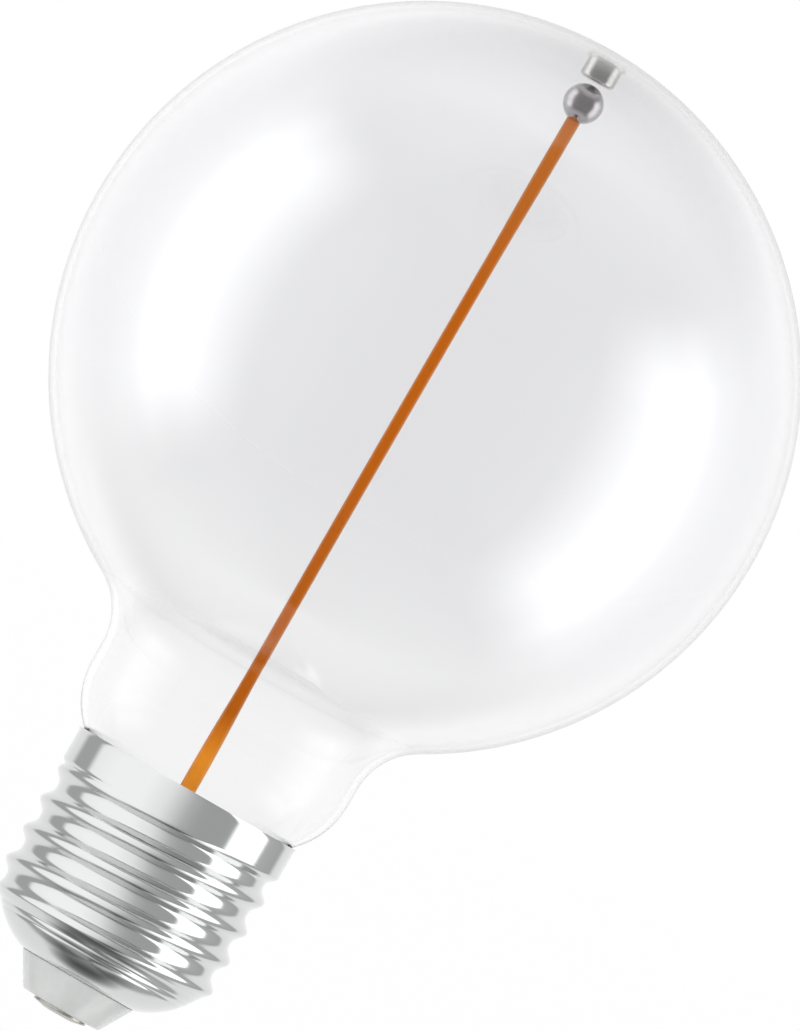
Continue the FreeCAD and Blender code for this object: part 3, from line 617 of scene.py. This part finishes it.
def clear_adhesive():
    """Clear cured adhesive: faintly yellow, with a wavy skin where it was pressed flat."""
    finish, tree, shader, place = new_finish(
        "clear_adhesive", "#F4F1E4", roughness=0.05, Transmission_Weight=1.0, IOR=1.5)
    bump(tree, shader, grain(tree, place, size=0.5 * MM), depth=0.02 * MM)
    let_lamps_through(tree, shader, linear("#F4F1E4"))
    return finish


def phosphor_silicone(foot, run_colour, head, painted_edge_sheen_colour):
    """Silicone full of amber phosphor: matt and finely powdered, more yellow at its thick foot.

    The foot is also painted lighter, against the shade inside the neck. Along the moulded edge, where
    the silicone thins and turns away, a paler colour is painted on as sheen. The whole strip glows a
    little of its own colour as painted light, most in the thick foot.
    """
    finish, tree, shader, place = new_finish(
        "phosphor_silicone", run_colour, roughness=0.6, Specular_IOR_Level=0.15)
    z = along(tree, place, "Z")
    # The foot is more yellow, and painted lighter against the shade inside the neck
    tone = mixed(tree, ranged(tree, z, 0, 1, *FOOT_TONE_AND_PAINTED_LIGHT), foot, run_colour)
    tone = mixed(tree, ranged(tree, z, 0, 1, *HEAD_SHADE), tone, head)
    powder = grain(tree, place, size=0.12 * MM, detail=4.0)
    shade = ranged(tree, powder, *POWDER_SHADE, *NOISE_SPAN)
    lit = add_node(tree, "ShaderNodeVectorMath", {0: tone, "Scale": shade}, operation="SCALE")
    # Painted sheen: a paler colour along the rounded moulded edges
    edge = add_node(tree, "ShaderNodeAttribute", attribute_name="edge").outputs["Fac"]
    painted_edge_sheen = maths(tree, "POWER", ranged(tree, edge, 0, 1, *PAINTED_EDGE_SHEEN), PAINTED_EDGE_SHEEN_POWER)
    tree.links.new(mixed(tree, painted_edge_sheen, lit.outputs[0], painted_edge_sheen_colour), shader.inputs["Base Color"])
    # Painted glow: the strip gives off a little light of its own colour, most at the foot
    tree.links.new(tone, shader.inputs["Emission Color"])
    painted_glow = ranged(tree, z, *SILICONE_PAINTED_GLOW, *FOOT_TONE_AND_PAINTED_LIGHT)
    tree.links.new(painted_glow, shader.inputs["Emission Strength"])
    bump(tree, shader, powder, depth=0.01 * MM)
    return finish


def bright_nickel_sheet(colour):
    """Rolled steel sheet, bright nickel plated: mirror-like, faintly drawn out around the cap."""
    finish, tree, shader, place = new_finish("bright_nickel_sheet", colour, roughness=0.1, metallic=1.0)
    drawn = grain(tree, place, size=0.25 * MM, stretch=(6, 6, 0.5))
    tree.links.new(ranged(tree, drawn, low=0.06, high=0.16), shader.inputs["Roughness"])
    bump(tree, shader, drawn, depth=0.002 * MM)
    return finish


def moulded_polyester(colour):
    """Moulded polyester, off-white: glossy skin, faintly mottled, with slight flow ripples."""
    finish, tree, shader, place = new_finish("moulded_polyester", colour, roughness=0.14)
    mottle = ranged(tree, grain(tree, place, size=1.5 * MM), 0, 0.5, *NOISE_SPAN)
    tree.links.new(mixed(tree, mottle, colour, "#DCDEDB"), shader.inputs["Base Color"])
    bump(tree, shader, grain(tree, place, size=0.8 * MM), depth=0.003 * MM)
    return finish


def board_laminate():
    """Glass-epoxy board under a pale lacquer: the weave shows as a fine square relief."""
    finish, tree, shader, place, tone = worn(
        "board_laminate", ("#DCE0D6", "#CFD5C8"), size=0.8 * MM, rough=(0.3, 0.4), relief=0.005 * MM)
    weave = maths(tree, "MULTIPLY", *(bands(tree, place, pitch=0.5 * MM, direction=d) for d in "XZ"))
    tree.links.new(mixed(tree, weave, tone, "#B9C4AC"), shader.inputs["Base Color"])
    bump(tree, shader, weave, depth=0.01 * MM)
    return finish


def sleeved_can():
    """Aluminium can in a glossy dark shrink sleeve: bare brushed end disc, tinned leads."""
    finish, tree, shader, place, tone = worn(
        "sleeved_can", ("#1F2A3A", "#263347"), size=1.0 * MM, rough=(0.25, 0.35), relief=0.01 * MM)
    x = along(tree, place, "X")
    ends = maths(tree, "MAXIMUM", beyond(tree, x, CAN_HIGH.x - CAN_DISC),
                 less(tree, beyond(tree, x, CAN_LOW.x + CAN_FOOT)))
    partly(tree, shader, ends, tone, "#B9BBBD", rough=0.3)
    return finish


def moulded_package():
    """Epoxy package, near black and matt with a fine grain; its legs are tinned and bright."""
    finish, tree, shader, place, tone = worn(
        "moulded_package", ("#1B1C1E", "#26282A"), size=0.1 * MM, rough=(0.5, 0.65), relief=0.006 * MM)
    z = away(tree, along(tree, place, "Z"), PACKAGE_MIDDLE_Z)
    side = beyond(tree, along(tree, place, "X"), 0)
    half = ranged(tree, side, CHIP_HALF_HEIGHT, RECTIFIER_HALF_HEIGHT)
    legs = beyond(tree, maths(tree, "SUBTRACT", z, half), edge=0.02 * MM, soft=0.01 * MM)
    partly(tree, shader, legs, tone, "#C4C5C2", rough=0.3)
    return finish


def thick_film_ceramic():
    """Chip resistors: a black glassy film on a ceramic body, with dull tinned end caps."""
    finish, tree, shader, place, tone = worn(
        "thick_film_ceramic", ("#17181A", "#232427"), size=0.15 * MM, rough=(0.25, 0.4),
        relief=0.004 * MM)
    spot = away(tree, maths(tree, "ABSOLUTE", along(tree, place, "X"), 0), RESISTOR_MIDDLE_X)
    middle = away(tree, spot, RESISTOR_SPREAD_X)
    partly(tree, shader, beyond(tree, middle, RESISTOR_CAP_X), tone, "#B4B5B1", rough=0.38)
    return finish


def film_capacitor_box():
    """Moulded box in dull yellow plastic: satin, mottled, with a resin-filled foot by the board."""
    finish, tree, shader, place, tone = worn(
        "film_capacitor_box", ("#C79A34", "#BD9030"), size=0.6 * MM, rough=(0.35, 0.5),
        relief=0.006 * MM)
    y = along(tree, place, "Y")
    foot = less(tree, beyond(tree, y, BOX_LOW.y + BOX_FOOT, soft=0.05 * MM))
    tree.links.new(mixed(tree, foot, tone, "#8E6A22"), shader.inputs["Base Color"])
    return finish


def lacquered_resistor():
    """Cement-lacquered resistor body, dull blue-green and slightly lumpy, on tinned leads."""
    finish, tree, shader, place, tone = worn(
        "lacquered_resistor", ("#55777A", "#486A6E"), size=0.35 * MM, rough=(0.45, 0.6),
        relief=0.02 * MM)
    middle = (FUSE_LOW.z + FUSE_HIGH.z) / 2
    ends = beyond(tree, away(tree, along(tree, place, "Z"), middle), FUSE_HALF_LENGTH)
    partly(tree, shader, ends, tone, "#BDBEBB", rough=0.3)
    return finish


def shrink_sleeve():
    """Black shrink tubing: satin, with fine wrinkles drawn along it."""
    return worn("shrink_sleeve", ("#161618", "#202022"), size=0.2 * MM, rough=(0.4, 0.55),
                relief=0.02 * MM, stretch=(1, 1, 5))[0]


def ferrite():
    """Sintered ferrite: charcoal, matt and finely pitted."""
    return worn("ferrite", ("#35363A", "#45464A"), size=0.12 * MM, rough=(0.55, 0.75),
                relief=0.015 * MM, Specular_IOR_Level=0.7)[0]


def enamelled_winding():
    """Enamelled copper wire, turn beside turn: red-brown ridges painted brighter, and painted shade in the
    valleys.
    """
    finish, tree, shader, place = new_finish("enamelled_winding", "#B4622F", roughness=0.25, metallic=1.0)
    ridges_and_painted_valley_shade = bands(tree, place, pitch=0.18 * MM, direction="Y")
    # Painted light and shade: the ridges of the turns lighter, the valleys between them dark
    tree.links.new(mixed(tree, ridges_and_painted_valley_shade, "#6E3216", "#C06C34"), shader.inputs["Base Color"])
    bump(tree, shader, ridges_and_painted_valley_shade, depth=0.06 * MM)
    return finish


def tinned_copper():
    """Tinned copper wire: silver-grey, dull, with drawing lines along it."""
    return worn("tinned_copper", ("#BFC0BD", "#ABACA9"), size=0.12 * MM, rough=(0.25, 0.42),
                relief=0.004 * MM, metallic=1.0, stretch=(1, 1, 8))[0]


def sealing_wire():
    """Nickel-iron lead with a copper sheath: nickel-grey, red-brown where it lies in the pinch."""
    finish, tree, shader, place, tone = worn(
        "sealing_wire", ("#A9A49C", "#98938C"), size=0.1 * MM, rough=(0.25, 0.4), relief=0.003 * MM,
        metallic=1.0, stretch=(1, 1, 8))
    z = along(tree, place, "Z")
    sealed = maths(tree, "MULTIPLY", beyond(tree, z, STEM_HIGH.z - SEALED_LENGTH),
                   less(tree, beyond(tree, z, STEM_HIGH.z, soft=0.1 * MM)))
    tree.links.new(mixed(tree, sealed, tone, "#8C4A32"), shader.inputs["Base Color"])
    return finish


# Sizes and colours that a user would change


def length(name, description, default, low=0.0):
    """A length in metres that the user can set."""
    return bpy.props.FloatProperty(name=name, description=description, default=default, min=low,
                                   precision=5, subtype="DISTANCE", unit="LENGTH")


def colour(name, description, code):
    """A colour that the user can set, from an sRGB hex code."""
    return bpy.props.FloatVectorProperty(name=name, description=description, default=linear(code),
                                         size=4, min=0.0, max=1.0, subtype="COLOR")


class GlobeLampSizes(bpy.types.PropertyGroup):
    """Sizes of the shown pieces."""

    globe_radius: length("Globe radius", "Outside radius of the glass globe",
                         (GLOBE_HIGH.x - GLOBE_LOW.x) / 2, 20.0 * MM)
    glass_wall: length("Glass wall", "Thickness of the blown glass", 0.8 * MM, 0.3 * MM)
    thread_pitch: length("Thread pitch", "Height of one turn of the cap's thread", 3.629 * MM, 1.0 * MM)
    strip_width: length("Strip width", "Width of the filament strip's slim run", 1.35 * MM, 1.0 * MM)
    strip_foot_width: length("Foot width", "Width of the strip at its foot", 1.82 * MM, 1.0 * MM)
    strip_head_width: length("Head width", "Width of the strip below the ball", 1.55 * MM, 1.0 * MM)
    strip_thickness: length("Strip thickness", "Thickness of the filament strip", 0.9 * MM, 0.5 * MM)
    strip_bow: length("Strip bow", "How far the strip bends to one side halfway up", 0.15 * MM)
    ball_radius: length("Ball radius", "Radius of the steel ball",
                        (BALL_HIGH.x - BALL_LOW.x) / 2, 1.0 * MM)
    steps_around: bpy.props.IntProperty(
        name="Steps around", description="Faces in one turn of a round piece", default=192, min=24)


class GlobeLampColours(bpy.types.PropertyGroup):
    """Colours of the shown pieces."""

    glass: colour("Glass", "Tint of one wall of the globe", "#F8F8F9")
    neck: colour("Neck", "Tint of one wall of the neck", "#FBFBFB")
    # The foot's colour is painted lighter, against the shade inside the neck
    strip_foot: colour("Strip foot", "Colour of the filament strip at its foot", "#FA9A2A")
    strip_run: colour("Strip run", "Colour of the strip's slim run", "#DC7006")
    strip_head: colour("Strip head", "Colour of the strip below the ball", "#E27F28")
    # Paler colour painted along the strip's edges as sheen
    strip_painted_edge_sheen: colour("Strip edge", "Paler colour along the strip's moulded edges", "#E8AC80")
    nickel: colour("Nickel", "Colour of the plated cap", "#D4D6D5")
    insulator: colour("Insulator", "Colour of the moulded insulator", "#EAECEB")
    floor: colour("Floor", "Colour of the floor", "#F3F3F3")


# Pieces


class GLOBELAMP_OT_glass(bpy.types.Operator):
    """Blown glass envelope, with its wall, and the glass stem in the cap"""

    bl_idname = "globe_lamp.glass"
    bl_label = "Glass envelope"

    def execute(self, context):
        sizes, colours = context.scene.globe_lamp_sizes, context.scene.globe_lamp_colours
        profile = joined(glass_profile(sizes, 0), glass_profile(sizes, sizes.glass_wall)[::-1])
        mesh = skin("globe_envelope", rings_of(profile, sizes.steps_around))
        glass = blown_soda_lime_glass(colours.glass, colours.neck)
        show(mesh, glass, "glass_globe")
        dress(drawn_stem_glass(), "glass_stem")
        return {"FINISHED"}


class GLOBELAMP_OT_cap(bpy.types.Operator):
    """Rolled screw cap with its thread and collar, and the cement in it"""

    bl_idname = "globe_lamp.cap"
    bl_label = "Screw cap"

    def execute(self, context):
        sizes, colours = context.scene.globe_lamp_sizes, context.scene.globe_lamp_colours
        outer_rows, inner_rows = CAP_ROWS
        rings = np.concatenate([cap_skin(sizes, 0, outer_rows), cap_skin(sizes, SHEET, inner_rows)[::-1]])
        show(skin("rolled_cap", rings, loop=True), bright_nickel_sheet(colours.nickel),
             "screw_shell")
        # Basing cement: chalky off-white, rough and open-grained
        cement = worn("basing_cement", ("#D8D2C4", "#C6BFAF"), size=0.4 * MM, rough=(0.85, 0.95),
                      relief=0.06 * MM)[0]
        dress(cement, "basing_cement")
        return {"FINISHED"}


class GLOBELAMP_OT_foot(bpy.types.Operator):
    """Moulded insulator and the centre contact under it"""

    bl_idname = "globe_lamp.foot"
    bl_label = "Insulator and contact"

    def execute(self, context):
        sizes, colours = context.scene.globe_lamp_sizes, context.scene.globe_lamp_colours
        low, high = INSULATOR_LOW.z / MM, INSULATOR_HIGH.z / MM
        mouth = SHELL_LOW.z / MM
        step_r, step_z = INSULATOR_TOP - MOUTH_STEP, mouth + MOUTH_GAP
        cone = rounded(
            [(INSULATOR_BORE, low), (INSULATOR_TIP, low), (INSULATOR_TOP, mouth), (step_r, mouth),
             (step_r, step_z), (INSULATOR_HEAD, step_z + HEAD_RISE), (INSULATOR_HEAD, high),
             (INSULATOR_BORE, high)],
            INSULATOR_EDGES)
        show(skin("insulator_cone", rings_of(cone, sizes.steps_around), loop=True),
             moulded_polyester(colours.insulator), "insulator")
        top = CONTACT_HIGH.z / MM
        floor = low + RIVET_FLOOR
        rivet = rounded(
            [(0, 0), (CONTACT_FLAT, 0), (CONTACT_RADIUS, CONTACT_RIM), (CONTACT_RADIUS, low),
             (RIVET_RADIUS, low), (RIVET_RADIUS, high), (RIVET_LIP, high), (RIVET_NECK, top),
             (RIVET_BORE, top), (RIVET_BORE, floor), (0, floor)],
            CONTACT_EDGES)
        # Tinned brass contact: soft grey metal, satin and finely mottled
        contact = worn("tinned_brass", ("#B9B8B2", "#A8A7A0"), size=0.3 * MM, rough=(0.22, 0.36),
                       relief=0.004 * MM, metallic=1.0)[0]
        show(skin("contact_rivet", rings_of(rivet, sizes.steps_around // 2)), contact,
             "contact_eyelet")
        return {"FINISHED"}


class GLOBELAMP_OT_filament(bpy.types.Operator):
    """Filament strip with its terminals and lead wires"""

    bl_idname = "globe_lamp.filament"
    bl_label = "Filament strip"

    def execute(self, context):
        sizes, colours = context.scene.globe_lamp_sizes, context.scene.globe_lamp_colours
        silicone = phosphor_silicone(
            colours.strip_foot, colours.strip_run, colours.strip_head, colours.strip_painted_edge_sheen)
        show(filament_mesh(sizes), silicone, "filament_strip")
        # Rolled nickel tabs: pale warm grey, with rolling lines along them
        tab = worn("rolled_nickel_tab", ("#B9B7AF", "#A5A39B"), size=0.1 * MM, rough=(0.22, 0.38),
                   relief=0.003 * MM, metallic=1.0, stretch=(1, 1, 8))[0]
        dress(tab, "terminal_live", "terminal_neutral")
        dress(sealing_wire(), "lead_wire_live", "lead_wire_neutral")
        return {"FINISHED"}


class GLOBELAMP_OT_hanger(bpy.types.Operator):
    """Steel ball on the strip, and the magnet in its cup under the crown"""

    bl_idname = "globe_lamp.hanger"
    bl_label = "Ball and magnet cup"

    def execute(self, context):
        sizes = context.scene.globe_lamp_sizes
        centre = (0, (BALL_LOW.z + BALL_HIGH.z) / 2)
        ball = arc(centre, sizes.ball_radius, -math.pi / 2, math.pi / 2, BALL_ROWS)
        # Polished bearing steel: a clean mirror, darker and warmer than the nickel
        steel = worn("polished_bearing_steel", ("#BFBBBC", "#B5B2B3"), size=0.2 * MM, rough=(0.12, 0.15),
                     relief=0.0003 * MM, metallic=1.0)[0]
        show(skin("bearing_ball", rings_of(ball, SMALL_ROUND)), steel, "steel_ball")
        low, high = CUP_LOW.z / MM, CUP_HIGH.z / MM
        bore, brim, floor = CUP_RADIUS - CUP_SHEET, high - CUP_SHEET, low + CUP_SHEET
        profile = rounded(
            [(0, low), (CUP_RADIUS, low), (CUP_RADIUS, brim), (CUP_FLANGE, brim), (CUP_FLANGE, high),
             (bore, high), (bore, floor), (0, floor)],
            CUP_EDGES)
        # Drawn cup, bright nickel plated: mirror with fine drawing lines along its side
        cup = worn("drawn_nickel_cup", ("#CFCECA", "#C3C2BE"), size=0.12 * MM, rough=(0.05, 0.09),
                   relief=0.0006 * MM, metallic=1.0, stretch=(1, 1, 5))[0]
        show(skin("drawn_cup", rings_of(profile, SMALL_ROUND)), cup, "magnet_cup")
        # Plated magnet: duller nickel over a granular sintered body
        magnet = worn("plated_magnet", ("#A9A9A6", "#9A9A97"), size=0.2 * MM, rough=(0.2, 0.35),
                      relief=0.006 * MM, metallic=1.0)[0]
        dress(magnet, "magnet")
        dress(clear_adhesive(), "dome_adhesive")
        return {"FINISHED"}


class GLOBELAMP_OT_driver(bpy.types.Operator):
    """Finishes of the driver board and everything on it"""

    bl_idname = "globe_lamp.driver"
    bl_label = "Driver board"

    def execute(self, context):
        dress(board_laminate(), "driver_board")
        dress(sleeved_can(), "smoothing_capacitor")
        dress(moulded_package(), "bridge_rectifier", "driver_chip")
        dress(thick_film_ceramic(), "chip_resistors")
        dress(film_capacitor_box(), "filter_capacitor")
        dress(lacquered_resistor(), "fusible_resistor")
        dress(shrink_sleeve(), "resistor_sleeve")
        dress(ferrite(), "choke_core")
        dress(enamelled_winding(), "choke_winding")
        dress(tinned_copper(), "live_wire", "neutral_wire")
        return {"FINISHED"}


def brightness(tree, azimuth, stops):
    """Grey level by azimuth from a table of (degrees, level)."""
    share = ranged(tree, azimuth, 0, 1, -math.pi, math.pi)
    ramp = add_node(tree, "ShaderNodeValToRGB", {"Fac": share})
    elements = ramp.color_ramp.elements
    while len(elements) < len(stops):
        elements.new(1.0)
    for element, (degrees, level) in zip(elements, stops):
        element.position = (degrees + 180) / 360
        grey = level / STUDIO_PEAK
        element.color = (grey, grey, grey, 1)
    return ramp.outputs["Color"]


def studio_light(scene):
    """White backdrop for the eye and through glass; a studio of soft boxes for gloss and matt.

    Rays that left the eye and only passed through glass see plain white. Rays mirrored by polished
    glass see two tall soft boxes beside a dark camera side, and a lighter one where they were
    mirrored inside the globe. All others see the studio of the metal.
    """
    world = bpy.data.worlds.new("studio")
    scene.world = world
    world.use_nodes = True
    tree = world.node_tree
    tree.nodes.clear()
    direction = add_node(tree, "ShaderNodeTexCoord").outputs["Generated"]
    parts = add_node(tree, "ShaderNodeSeparateXYZ", {"Vector": direction}).outputs
    azimuth = maths(tree, "ARCTAN2", parts["X"], maths(tree, "MULTIPLY", parts["Y"], -1.0))
    height = maths(tree, "ARCSINE", parts["Z"], 0)
    rise = away(tree, height, math.radians(GLASS_LEVEL))

    start, end, left = STUDIO_CEILING
    ceiling = ranged(tree, height, 1.0, left, math.radians(start), math.radians(end))
    start, end, left = STUDIO_TABLE
    table = ranged(tree, height, 1.0, left, -math.radians(start), -math.radians(end))
    towards, reach, left = STUDIO_FLAG
    aim = add_node(tree, "ShaderNodeVectorMath", {0: direction}, operation="DOT_PRODUCT")
    aim.inputs[1].default_value = towards
    inner, outer = (math.cos(math.radians(angle)) for angle in reach)
    flag = ranged(tree, aim.outputs["Value"], 1.0, left, outer, inner)
    dimmed = maths(tree, "MULTIPLY", maths(tree, "MULTIPLY", ceiling, table), flag)
    metal_level = maths(tree, "MULTIPLY", dimmed, STUDIO_PEAK)
    metal = add_node(tree, "ShaderNodeBackground",
                     {"Color": brightness(tree, azimuth, STUDIO_BANDS), "Strength": metal_level})

    ray = add_node(tree, "ShaderNodeLightPath").outputs
    near, far = (brightness(tree, azimuth, stops) for stops in (GLASS_BANDS, GLASS_HIGH_BANDS))
    seen = mixed(tree, ranged(tree, rise, 0, 1, *map(math.radians, GLASS_HIGH)), near, far)
    front, level = ((grey / STUDIO_PEAK,) * 3 for grey in (INSIDE_FRONT, INSIDE_LEVEL))
    lifted = add_node(tree, "ShaderNodeVectorMath", {0: seen}, operation="MAXIMUM")
    lifted.inputs[1].default_value = front
    high = ranged(tree, rise, 0, 1, *map(math.radians, INSIDE_HIGH))
    lifted = mixed(tree, high, lifted.outputs[0], (*level, 1.0))
    inside = less(tree, some(tree, away(tree, ray["Transmission Depth"], INSIDE_WALLS)))
    seen = mixed(tree, inside, seen, lifted)
    glass = add_node(tree, "ShaderNodeBackground", {"Color": seen}, Strength=STUDIO_PEAK)
    white = add_node(tree, "ShaderNodeBackground", Color=(1, 1, 1, 1), Strength=1.0)

    matt = some(tree, ray["Diffuse Depth"])
    mirrored = some(tree, ray["Glossy Depth"])
    clear = maths(tree, "MULTIPLY", ray["Is Singular Ray"], less(tree, matt))
    bounced = maths(tree, "MAXIMUM", matt, mirrored)
    through = maths(tree, "MULTIPLY", ray["Is Transmission Ray"], less(tree, bounced))
    straight = maths(tree, "MAXIMUM", ray["Is Camera Ray"], through)
    gloss = add_node(tree, "ShaderNodeMixShader", {0: clear, 1: metal.outputs[0], 2: glass.outputs[0]})
    both = add_node(tree, "ShaderNodeMixShader", {0: straight, 1: gloss.outputs[0], 2: white.outputs[0]})
    add_node(tree, "ShaderNodeOutputWorld", {"Surface": both.outputs[0]})


def pale_floor(colour):
    """Matt white studio floor: plain, and it shows as white backdrop with the lamp's soft shadow.

    Mirrored rays pass it, because the studio's soft boxes go on below the lamp.
    """
    finish, tree, shader, *_ = worn("studio_floor", (colour, colour), size=40.0 * MM,
                                    rough=(0.85, 0.95), relief=0.1 * MM)
    ray = add_node(tree, "ShaderNodeLightPath").outputs
    seen = maths(tree, "MAXIMUM", ray["Is Camera Ray"], ray["Is Transmission Ray"])
    white = add_node(tree, "ShaderNodeEmission", Color=(1, 1, 1, 1), Strength=FLOOR_WHITE)
    share = maths(tree, "MULTIPLY", seen, FLOOR_SHINE)
    shown = add_node(tree, "ShaderNodeMixShader", {0: share, 1: shader.outputs[0], 2: white.outputs[0]})
    mirrored = some(tree, ray["Glossy Depth"])
    clear = add_node(tree, "ShaderNodeBsdfTransparent")
    both = add_node(tree, "ShaderNodeMixShader", {0: mirrored, 1: shown.outputs[0], 2: clear.outputs[0]})
    tree.links.new(both.outputs[0], tree.nodes["Material Output"].inputs["Surface"])
    return finish


class GLOBELAMP_OT_stage(bpy.types.Operator):
    """Pale floor, soft studio light and the camera"""

    bl_idname = "globe_lamp.stage"
    bl_label = "Stage"

    def execute(self, context):
        scene = context.scene
        scene.view_settings.view_transform = "Standard"
        studio_light(scene)
        low = FLOOR_Z - FLOOR_THICKNESS
        slab = np.array([(0, FLOOR_Z), (FLOOR_RADIUS, FLOOR_Z), (FLOOR_RADIUS, low), (0, low)])
        mesh = skin("floor", rings_of(slab, FLOOR_ROUND))
        mesh.materials.append(pale_floor(scene.globe_lamp_colours.floor))
        floor = bpy.data.objects.new("floor", mesh)
        scene.collection.objects.link(floor)

        # The camera stands a little above the level of the cap's rim, so that its far side just shows
        across, up = PHOTO_CENTRE
        stand = Vector((across, -CAMERA_DISTANCE, SHELL_HIGH.z + CAMERA_ABOVE_RIM))
        back = (stand - Vector((across, 0, up))).normalized()
        right = Vector((math.cos(PHOTO_LEAN), 0, math.sin(PHOTO_LEAN)))
        right = (right - back * right.dot(back)).normalized()
        data = bpy.data.cameras.new("camera")
        data.sensor_width = CAMERA_SENSOR
        data.lens = CAMERA_SENSOR * CAMERA_DISTANCE / (PHOTO_SIZE[1] / PHOTO_PIXELS_PER_MM * MM)
        camera = bpy.data.objects.new("camera", data)
        scene.collection.objects.link(camera)
        turn = Matrix((right, back.cross(right), back)).transposed()
        camera.matrix_world = Matrix.Translation(stand) @ turn.to_4x4()
        data.clip_end = CAMERA_REACH
        scene.camera = camera
        return {"FINISHED"}


OPERATORS = (GLOBELAMP_OT_glass, GLOBELAMP_OT_cap, GLOBELAMP_OT_foot, GLOBELAMP_OT_filament,
             GLOBELAMP_OT_hanger, GLOBELAMP_OT_driver, GLOBELAMP_OT_stage)


class GLOBELAMP_PT_panel(bpy.types.Panel):
    """Globe lamp tools"""

    bl_label = "Globe Lamp"
    bl_idname = "GLOBELAMP_PT_panel"
    bl_space_type = "VIEW_3D"
    bl_region_type = "UI"
    bl_category = "Globe Lamp"

    def draw(self, context):
        for operator in OPERATORS:
            self.layout.operator(operator.bl_idname)
        for group in (context.scene.globe_lamp_sizes, context.scene.globe_lamp_colours):
            box = self.layout.box()
            for name in type(group).__annotations__:
                box.prop(group, name)


CLASSES = (GlobeLampSizes, GlobeLampColours, *OPERATORS, GLOBELAMP_PT_panel)


def register():
    for item in CLASSES:
        bpy.utils.register_class(item)
    bpy.types.Scene.globe_lamp_sizes = bpy.props.PointerProperty(type=GlobeLampSizes)
    bpy.types.Scene.globe_lamp_colours = bpy.props.PointerProperty(type=GlobeLampColours)


def unregister():
    del bpy.types.Scene.globe_lamp_colours
    del bpy.types.Scene.globe_lamp_sizes
    for item in reversed(CLASSES):
        bpy.utils.unregister_class(item)


def main():
    """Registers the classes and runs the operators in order."""
    register()
    for operator in OPERATORS:
        group, name = operator.bl_idname.split(".")
        getattr(getattr(bpy.ops, group), name)()


if __name__ == "__main__":
    main()
